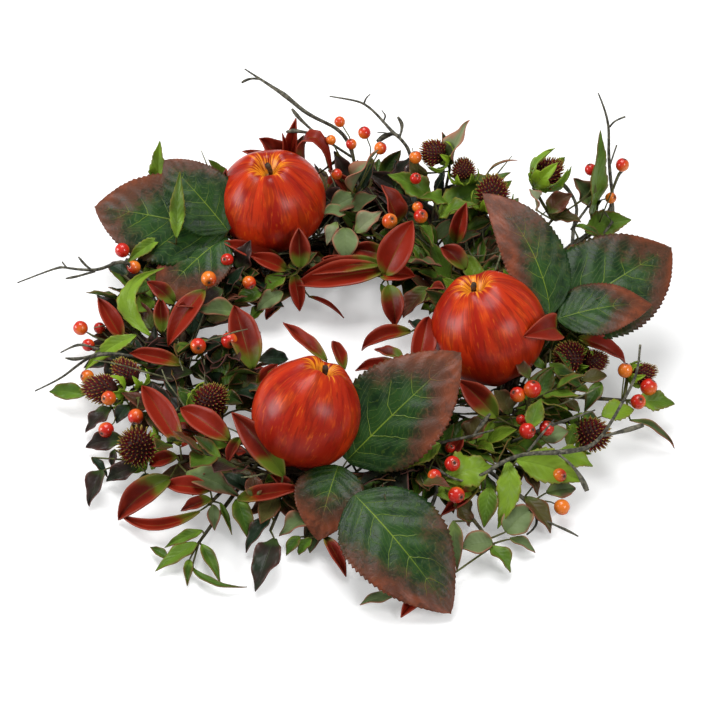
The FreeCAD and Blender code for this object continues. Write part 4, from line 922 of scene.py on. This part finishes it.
# %% Stalks of the apples
# A stalk bends a little and ends in a thicker knob.
def swept_tube(target, route, radii, sides=12):
    """A closed round tube along a route, added to a bmesh by extruding one ring."""
    ring = bmesh.ops.create_circle(target, cap_ends=True, segments=sides, radius=1.0)["verts"]
    ahead = (route[1] - route[0]).normalized()
    turn = Vector((0, 0, 1)).rotation_difference(ahead).to_matrix()
    for point in ring:
        point.co = route[0] + turn @ point.co * radii[0]
    (face,) = {f for f in ring[0].link_faces}
    for index in range(1, len(route)):
        before = ahead
        last = min(index + 1, len(route) - 1)
        ahead = (route[last] - route[index - 1]).normalized()
        twist = before.rotation_difference(ahead).to_matrix()
        grown = bmesh.ops.extrude_discrete_faces(target, faces=[face])["faces"][0]
        centre = route[index - 1]
        for point in grown.verts:
            offset = twist @ (point.co - centre)
            point.co = route[index] + offset.normalized() * radii[index]
        face = grown


STALK_RADII = [0.0016, 0.0014, 0.0013, 0.0014, 0.0016, 0.0017, 0.0020, 0.0015]
stalk_bark = bark_finish("stalk_bark", (0.10, 0.06, 0.03), (0.02, 0.012, 0.008), 0.6, 500.0, 0.0006)
stalks = bmesh.new()
for seed, (centre, axis) in enumerate(apple_places.values()):
    foot, top = stalk_line(centre)
    side = axis.cross(Vector((0.3, 1.0, 0.1))).normalized()
    bend = side * (0.13 * (top - foot).length * (1 if seed % 2 else -1))
    route = [foot.lerp(top, step / 7) + bend * math.sin(math.pi * step / 7) for step in range(8)]
    swept_tube(stalks, route, STALK_RADII)
bmesh.ops.recalc_face_normals(stalks, faces=stalks.faces)
new_piece("apple_stalks_bent", stalks, [stalk_bark], ["apple_stems"])
print("stalks made")

# %% [markdown]
# ## Berries
# A berry is a glossy ball, slightly longer than wide, that runs from orange at its stem to red
# at its dry black crown. Its crown is a small button with a ragged edge.

# %% Berry finish
def berry_finish():
    paint = Finish("berry_gloss", coat_weight=0.5, coat_roughness=0.10, specular_ior_level=0.3)
    x, y, z = paint.parts(paint.stored_vector("upright"))
    tint = paint.stored("tint")
    mottle = paint.noise(300.0, 3.0)
    side = x * 0.6 + y * 0.35
    ripe = paint.step(z * 0.35 + side + (tint - 0.38) * 1.9 + (mottle - 0.5) * 0.5, -0.65, 0.65)
    body = paint.blend(ripe, (0.78, 0.190, 0.016), (0.56, 0.016, 0.008))
    body = paint.blend(paint.step(mottle, 0.58, 0.72) * 0.25, body, (0.42, 0.05, 0.01))
    crown = paint.step(z, 0.80, 0.97)
    body = paint.blend(crown * 0.6, body, (0.16, 0.05, 0.015))
    paint.colour(body)
    paint.rough(0.26 + (mottle - 0.5) * 0.1)
    paint.bump(mottle, 0.0003, 0.2)
    return paint.material


def crown_finish():
    paint = Finish("crown_dry")
    grain = paint.noise(900.0, 3.0)
    paint.colour(paint.blend(grain, (0.010, 0.008, 0.006), (0.045, 0.030, 0.018)))
    paint.rough(0.8 + (grain - 0.5) * 0.2)
    paint.bump(grain, 0.0003, 0.6)
    return paint.material


# %% Shape the berries
CROWN_SIZE = 0.17    # shares of a berry's radius
CROWN_SEAT = 0.88


def balls_of(node):
    """Centre and radius of each solid ball."""
    mesh = merged_mesh(node)
    found = []
    for island in islands(mesh):
        low = Vector([min(p.co[axis] for p in island) for axis in range(3)])
        high = Vector([max(p.co[axis] for p in island) for axis in range(3)])
        found.append(((low + high) / 2, (high - low).length / math.sqrt(12)))
    mesh.free()
    return found


crown_places = [centre for centre, _ in balls_of("berry_crowns")]
BERRY_NODES = sorted(n for n in nodes if n.startswith("berries_"))
berry_gloss, crown_dry = berry_finish(), crown_finish()
chance = random.Random(7)
crowns = bmesh.new()
for node in BERRY_NODES:
    target = bmesh.new()
    local = target.verts.layers.float_vector.new("upright")
    tints = target.verts.layers.float.new("tint")
    for centre, radius in balls_of(node):
        crown = min(crown_places, key=lambda place: (place - centre).length)
        turn = Vector((0, 0, 1)).rotation_difference(crown - centre).to_matrix()
        spin = Matrix.Rotation(chance.uniform(0, ONE_TURN), 3, "Z")
        tint = chance.random()
        made = bmesh.ops.create_uvsphere(target, u_segments=28, v_segments=20, radius=1.0)
        for point in made["verts"]:
            upright = point.co.normalized()
            point[local] = spin @ upright
            point[tints] = tint
            out = math.hypot(upright.x, upright.y)
            dimple = 0.16 * math.exp(-(out / 0.22) ** 2) if upright.z > 0 else 0.0
            shaped = Vector((upright.x * 0.97, upright.y * 0.97, upright.z - dimple))
            point.co = centre + turn @ (shaped * radius)
        rim = bmesh.ops.create_cone(crowns, cap_ends=True, segments=12, radius1=1.0, radius2=1.0,
                                    depth=0.6)["verts"]
        for index, point in enumerate(rim):
            ragged = 1.25 if index % 4 < 2 else 0.8
            high = point.co.z > 0
            place = Vector((point.co.x * (ragged if high else 0.7),
                            point.co.y * (ragged if high else 0.7), point.co.z * 0.9))
            point.co = centre + turn @ (place * radius * CROWN_SIZE + Vector((0, 0, radius * CROWN_SEAT)))
    new_piece(node + "_skin", target, [berry_gloss], [node])
new_piece("berry_crowns_ragged", crowns, [crown_dry], ["berry_crowns"], smooth=False)
print(len(crown_places), "berries")

# %% [markdown]
# ## Seed pods
# A pod is a dark crimson cone covered with soft spines whose tips are yellow-green; its core and the
# feet of the spines carry painted shade. The spines are set by the golden angle, which spaces them
# evenly with no rows, and lean towards the tip.

# %% Pod finishes
def pod_finish():
    paint = Finish("pod_crimson", specular_ior_level=0.25)
    tip = paint.stored("tip")
    grain = paint.noise(400.0, 3.0)
    body = paint.blend(paint.step(grain, 0.35, 0.7), (0.075, 0.005, 0.008), (0.230, 0.012, 0.014))
    body = paint.blend(paint.step(tip, 0.60, 0.95) * 0.85, body, (0.42, 0.34, 0.055))
    # Painted shade: the core and the feet of the spines are painted nearly black, as if shaded by the spines
    # round them.
    core = 1 - paint.step(tip, 0.02, 0.25)
    body = paint.blend(core * 0.85, body, (0.020, 0.006, 0.004))
    paint.colour(body)
    paint.rough(0.62 + (grain - 0.5) * 0.2)
    paint.bump(grain, 0.0004, 0.4)
    return paint.material


# %% Shape the pods
SPINES = 150
# Shares of the pod's half sizes. The last is how much it narrows from its middle to its tip.
SPINE_LENGTH, SPINE_SPREAD = 0.32, 0.12
SPINE_FOOT, SPINE_TIP = 0.070, 0.020
CORE = 0.80
ROOT = 0.76
NARROWING = 0.25
GOLDEN_ANGLE = math.pi * (3 - math.sqrt(5))


def pod_solids(node):
    """Centre, half length and half width of each solid pod."""
    mesh = merged_mesh(node)
    found = []
    for island in islands(mesh):
        centre = sum((p.co for p in island), Vector()) / len(island)
        far = max(island, key=lambda p: (p.co - centre).length)
        near = min(island, key=lambda p: (p.co - centre).length)
        found.append((centre, (far.co - centre).length, (near.co - centre).length))
    mesh.free()
    return found


sepal_blades = blades_of("pod_sepals")


def pod_axis(centre):
    """From the foot of the sepals nearest to a pod towards its centre."""
    near = sorted(sepal_blades, key=lambda b: (b.point(0.0, 0.5) - centre).length)[:6]
    foot = sum((b.point(0.0, 0.5) for b in near), Vector()) / len(near)
    return (centre - foot).normalized()


POD_NODES = sorted(n for n in nodes if n.startswith("pods_"))
pod_crimson = pod_finish()
for node in POD_NODES:
    target = bmesh.new()
    tips = target.verts.layers.float.new("tip")
    for centre, long_half, wide_half in pod_solids(node):
        turn = Vector((0, 0, 1)).rotation_difference(pod_axis(centre)).to_matrix()
        half = Vector((wide_half, wide_half, long_half))
        core = bmesh.ops.create_icosphere(target, subdivisions=3, radius=CORE)["verts"]
        for point in core:
            cone = 1.0 - NARROWING * point.co.z
            shaped = Vector((point.co.x * cone * half.x, point.co.y * cone * half.y,
                             point.co.z * half.z))
            point.co = centre + turn @ shaped
        for index in range(SPINES):
            height = 0.98 - 1.55 * (index + 0.5) / SPINES
            out = math.sqrt(1 - height * height)
            angle = index * GOLDEN_ANGLE
            cone = 1.0 - NARROWING * height
            root = Vector((math.cos(angle) * out * cone, math.sin(angle) * out * cone, height)) * ROOT
            way = Vector((root.x, root.y, root.z * 0.8 + 0.45)).normalized()
            lean = Vector((0, 0, 1)).rotation_difference(way).to_matrix()
            length = SPINE_LENGTH + SPINE_SPREAD * chance.random()
            spine = bmesh.ops.create_cone(target, cap_ends=False, segments=5, depth=length,
                                          radius1=SPINE_FOOT, radius2=SPINE_TIP)["verts"]
            for point in spine:
                share = point.co.z / length + 0.5
                point[tips] = share
                local_co = root + lean @ (point.co + Vector((0, 0, length / 2)))
                point.co = centre + turn @ Vector([local_co[axis] * half[axis] for axis in range(3)])
    new_piece(node + "_spined", target, [pod_crimson], [node])
foliage("pod_sepals_laid", sepal_blades, ["sepal"] * len(sepal_blades), ["pod_sepals"], 31,
        0.6 * MM, rows=24, columns=4, teeth=3, tooth=0.55, hook=-0.12)

# %% [markdown]
# ## Bare twiglets
# Thin bare twiglets rise out of the foliage all round the ring, finer than any in the solid
# model. They start near the vine and keep clear of the fruit, the pods and the large leaves.
# Past their foot they don't cross a solid leaf of the sprays either.

# %% What a twiglet keeps clear of
fruit_tree = tree_of(APPLES + LARGE_LEAVES + POD_NODES + BERRY_NODES)
leaf_tree = tree_of(sorted(n for n in nodes if "_leaves_" in n and "filler" not in n))
low_corner, high_corner = (Vector(corner) for corner in solid_box)
TWIGLET_GAP = 3 * MM
LEAF_GAP = 2.5 * MM


def is_clear(point):
    inside = all(low_corner[axis] < point[axis] < high_corner[axis] for axis in range(3))
    return inside and not fruit_tree.find_nearest(point, TWIGLET_GAP)[0]


def misses_leaves(points):
    if any(leaf_tree.find_nearest(point, LEAF_GAP)[0] for point in points):
        return False
    for start, end in zip(points, points[1:]):
        run = end - start
        if leaf_tree.ray_cast(start, run.normalized(), run.length)[0]:
            return False
    return True


# %% Grow the twiglets
TWIGLETS = 150
TWIGLET_STEPS = 7
TWIGLET_THICK = 0.75 * MM
TWIGLET_REACH = (35, 62)    # in mm
TWIGLET_FOOT = (100, 120)    # mm from the middle of the wreath
twiglets = bmesh.new()
chance = random.Random(5)
for index in range(TWIGLETS):
    turn = index * GOLDEN_ANGLE + 1.0
    out = Vector((math.cos(turn), math.sin(turn), 0))
    about = Vector((-out.y, out.x, 0))
    way = (out * chance.uniform(-0.5, 1.0) + about * chance.uniform(-1.1, 1.1)).normalized()
    reach = chance.uniform(*TWIGLET_REACH) * MM
    steep, droop = chance.uniform(0.5, 1.1), chance.uniform(-0.6, 0.0)
    start = out * (chance.uniform(*TWIGLET_FOOT) * MM) + Vector((0, 0, 10 * MM))
    route = []
    for step in range(TWIGLET_STEPS):
        share = step / (TWIGLET_STEPS - 1)
        kink = Vector([chance.uniform(-1.3, 1.3) * MM * share for _ in range(3)])
        route.append(start + way * (reach * share) + kink
                     + Vector((0, 0, reach * (steep + droop * share) * share)))
    if all(is_clear(point) for point in route) and misses_leaves(route[2:]):
        radii = [TWIGLET_THICK * (1 - 0.10 * step + 0.25 * (step % 2)) for step in range(TWIGLET_STEPS)]
        swept_tube(twiglets, route, radii, sides=6)
bmesh.ops.recalc_face_normals(twiglets, faces=twiglets.faces)
new_piece("twiglets_bare", twiglets, [pale_bark])

# %% [markdown]
# ## The ring
# The vine is a loose rope of thin stems. Three thin ones stand for each solid strand: they wind
# round its middle line and are closed into rings.

# %% Wind the vine
def wound_ring(target, radius, height, wind_radius, winds, start, thick, steps=180):
    """A thin closed ring that winds round a strand's middle line, as a bent grid."""
    sides = 8
    made = bmesh.ops.create_grid(target, x_segments=steps, y_segments=sides, size=0.5)["verts"]
    for point in made:
        along = (point.co.x + 0.5) * 2 * math.pi
        about = (point.co.y + 0.5) * 2 * math.pi
        wind = winds * along + start
        wobble = 1 + 0.06 * math.sin(5 * along + start) + 0.04 * math.sin(11 * along)
        out = radius + math.cos(wind) * wind_radius * wobble
        up = height + math.sin(wind) * wind_radius
        size = thick * (1 + 0.12 * math.sin(7 * along + start))
        out += math.cos(about) * size
        up += math.sin(about) * size
        point.co = Vector((math.cos(along) * out, math.sin(along) * out, up))


vine = bmesh.new()
STRANDS = ["vine_strand_inner", "vine_strand_outer", "vine_strand_top"]
WIND_REACH, STEM_THICK = 0.46, 0.50    # shares of a solid strand's half height
WINDS = 7
THIRD_OF_TURN = 2.09
for index, node in enumerate(STRANDS):
    low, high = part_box(node)
    strand = (high.z - low.z) / 2
    radius = high.x - strand
    for wind in range(3):
        wound_ring(vine, radius, (high.z + low.z) / 2, strand * WIND_REACH, WINDS + index,
                   THIRD_OF_TURN * wind + index, strand * STEM_THICK)
bmesh.ops.remove_doubles(vine, verts=vine.verts, dist=0.01 * MM)
bmesh.ops.recalc_face_normals(vine, faces=vine.faces)
new_piece("vine_wound", vine, [vine_bark], STRANDS)

# %% Finish the wires that stay as they are
for node in ("binding_wires", "apple_wires"):
    nodes[node].data.materials.clear()
    nodes[node].data.materials.append(wire_paint)
print("vine and wires done")

# %% [markdown]
# ## Floor, light and camera
# The wreath lies on a plain white table under broad soft lamps. The table glows and the sky is
# brighter for the camera alone. That adds no light to the wreath, so the shadows stay soft.

# %% Another look for the camera
def seen_otherwise(tree, plain, seen, output):
    """Mix two shaders so that only the camera's own rays meet the second."""
    choice = tree.nodes.new("ShaderNodeMixShader")
    path = tree.nodes.new("ShaderNodeLightPath")
    tree.links.new(path.outputs["Is Camera Ray"], choice.inputs[0])
    tree.links.new(plain.outputs[0], choice.inputs[1])
    tree.links.new(seen.outputs[0], choice.inputs[2])
    tree.links.new(choice.outputs[0], tree.nodes[output].inputs["Surface"])


# %% Floor
floor_mesh = bmesh.new()
bmesh.ops.create_grid(floor_mesh, x_segments=1, y_segments=1, size=6.0)
floor_data = bpy.data.meshes.new("floor")
floor_mesh.to_mesh(floor_data)
floor_mesh.free()
floor = bpy.data.objects.new("floor", floor_data)
bpy.context.scene.collection.objects.link(floor)
table = bpy.data.materials.new("table_white")
table.use_nodes = True
table_tree = table.node_tree
TABLE_GLOW = 0.30
table_shader = table_tree.nodes["Principled BSDF"]
table_shader.inputs["Base Color"].default_value = (0.78, 0.78, 0.78, 1.0)
table_shader.inputs["Roughness"].default_value = 0.9
glow = table_tree.nodes.new("ShaderNodeEmission")
glow.inputs["Strength"].default_value = TABLE_GLOW
total = table_tree.nodes.new("ShaderNodeAddShader")
table_tree.links.new(table_shader.outputs[0], total.inputs[0])
table_tree.links.new(glow.outputs[0], total.inputs[1])
seen_otherwise(table_tree, table_shader, total, "Material Output")
floor_data.materials.append(table)

# %% Lamps
LAMP_AIM = Vector((0, 0, 0.03))


def soft_lamp(name, place, size, power):
    data = bpy.data.lights.new(name, "AREA")
    data.shape = "SQUARE"
    data.size = size
    data.energy = power
    lamp = bpy.data.objects.new(name, data)
    lamp.location = place
    lamp.rotation_euler = (LAMP_AIM - Vector(place)).to_track_quat("-Z", "Y").to_euler()
    bpy.context.scene.collection.objects.link(lamp)


soft_lamp("lamp_left", (-1.4, -0.15, 0.55), 0.6, 13.0)
soft_lamp("lamp_right", (0.95, -0.80, 0.95), 0.5, 8.0)
soft_lamp("lamp_above", (-0.1, 0.45, 1.5), 0.9, 20.0)
world = bpy.data.worlds.new("studio")
bpy.context.scene.world = world
world.use_nodes = True
DAYLIGHT = 0.30
sky = world.node_tree.nodes["Background"]
sky.inputs["Color"].default_value = (1.0, 1.0, 1.0, 1.0)
sky.inputs["Strength"].default_value = DAYLIGHT
white_sky = world.node_tree.nodes.new("ShaderNodeBackground")
white_sky.inputs["Color"].default_value = (1.0, 1.0, 1.0, 1.0)
seen_otherwise(world.node_tree, sky, white_sky, "World Output")

# %% Camera
camera_data = bpy.data.cameras.new("camera")
camera_data.sensor_width = 36.0
camera_data.lens = 89.75
camera_data.clip_end = 20.0
camera = bpy.data.objects.new("camera", camera_data)
camera.location = (0.0107, -0.8438, 0.8533)
camera.rotation_euler = (math.radians(45.0), 0.0, 0.0)
bpy.context.scene.collection.objects.link(camera)
bpy.context.scene.camera = camera
bpy.context.scene.view_settings.view_transform = "Standard"
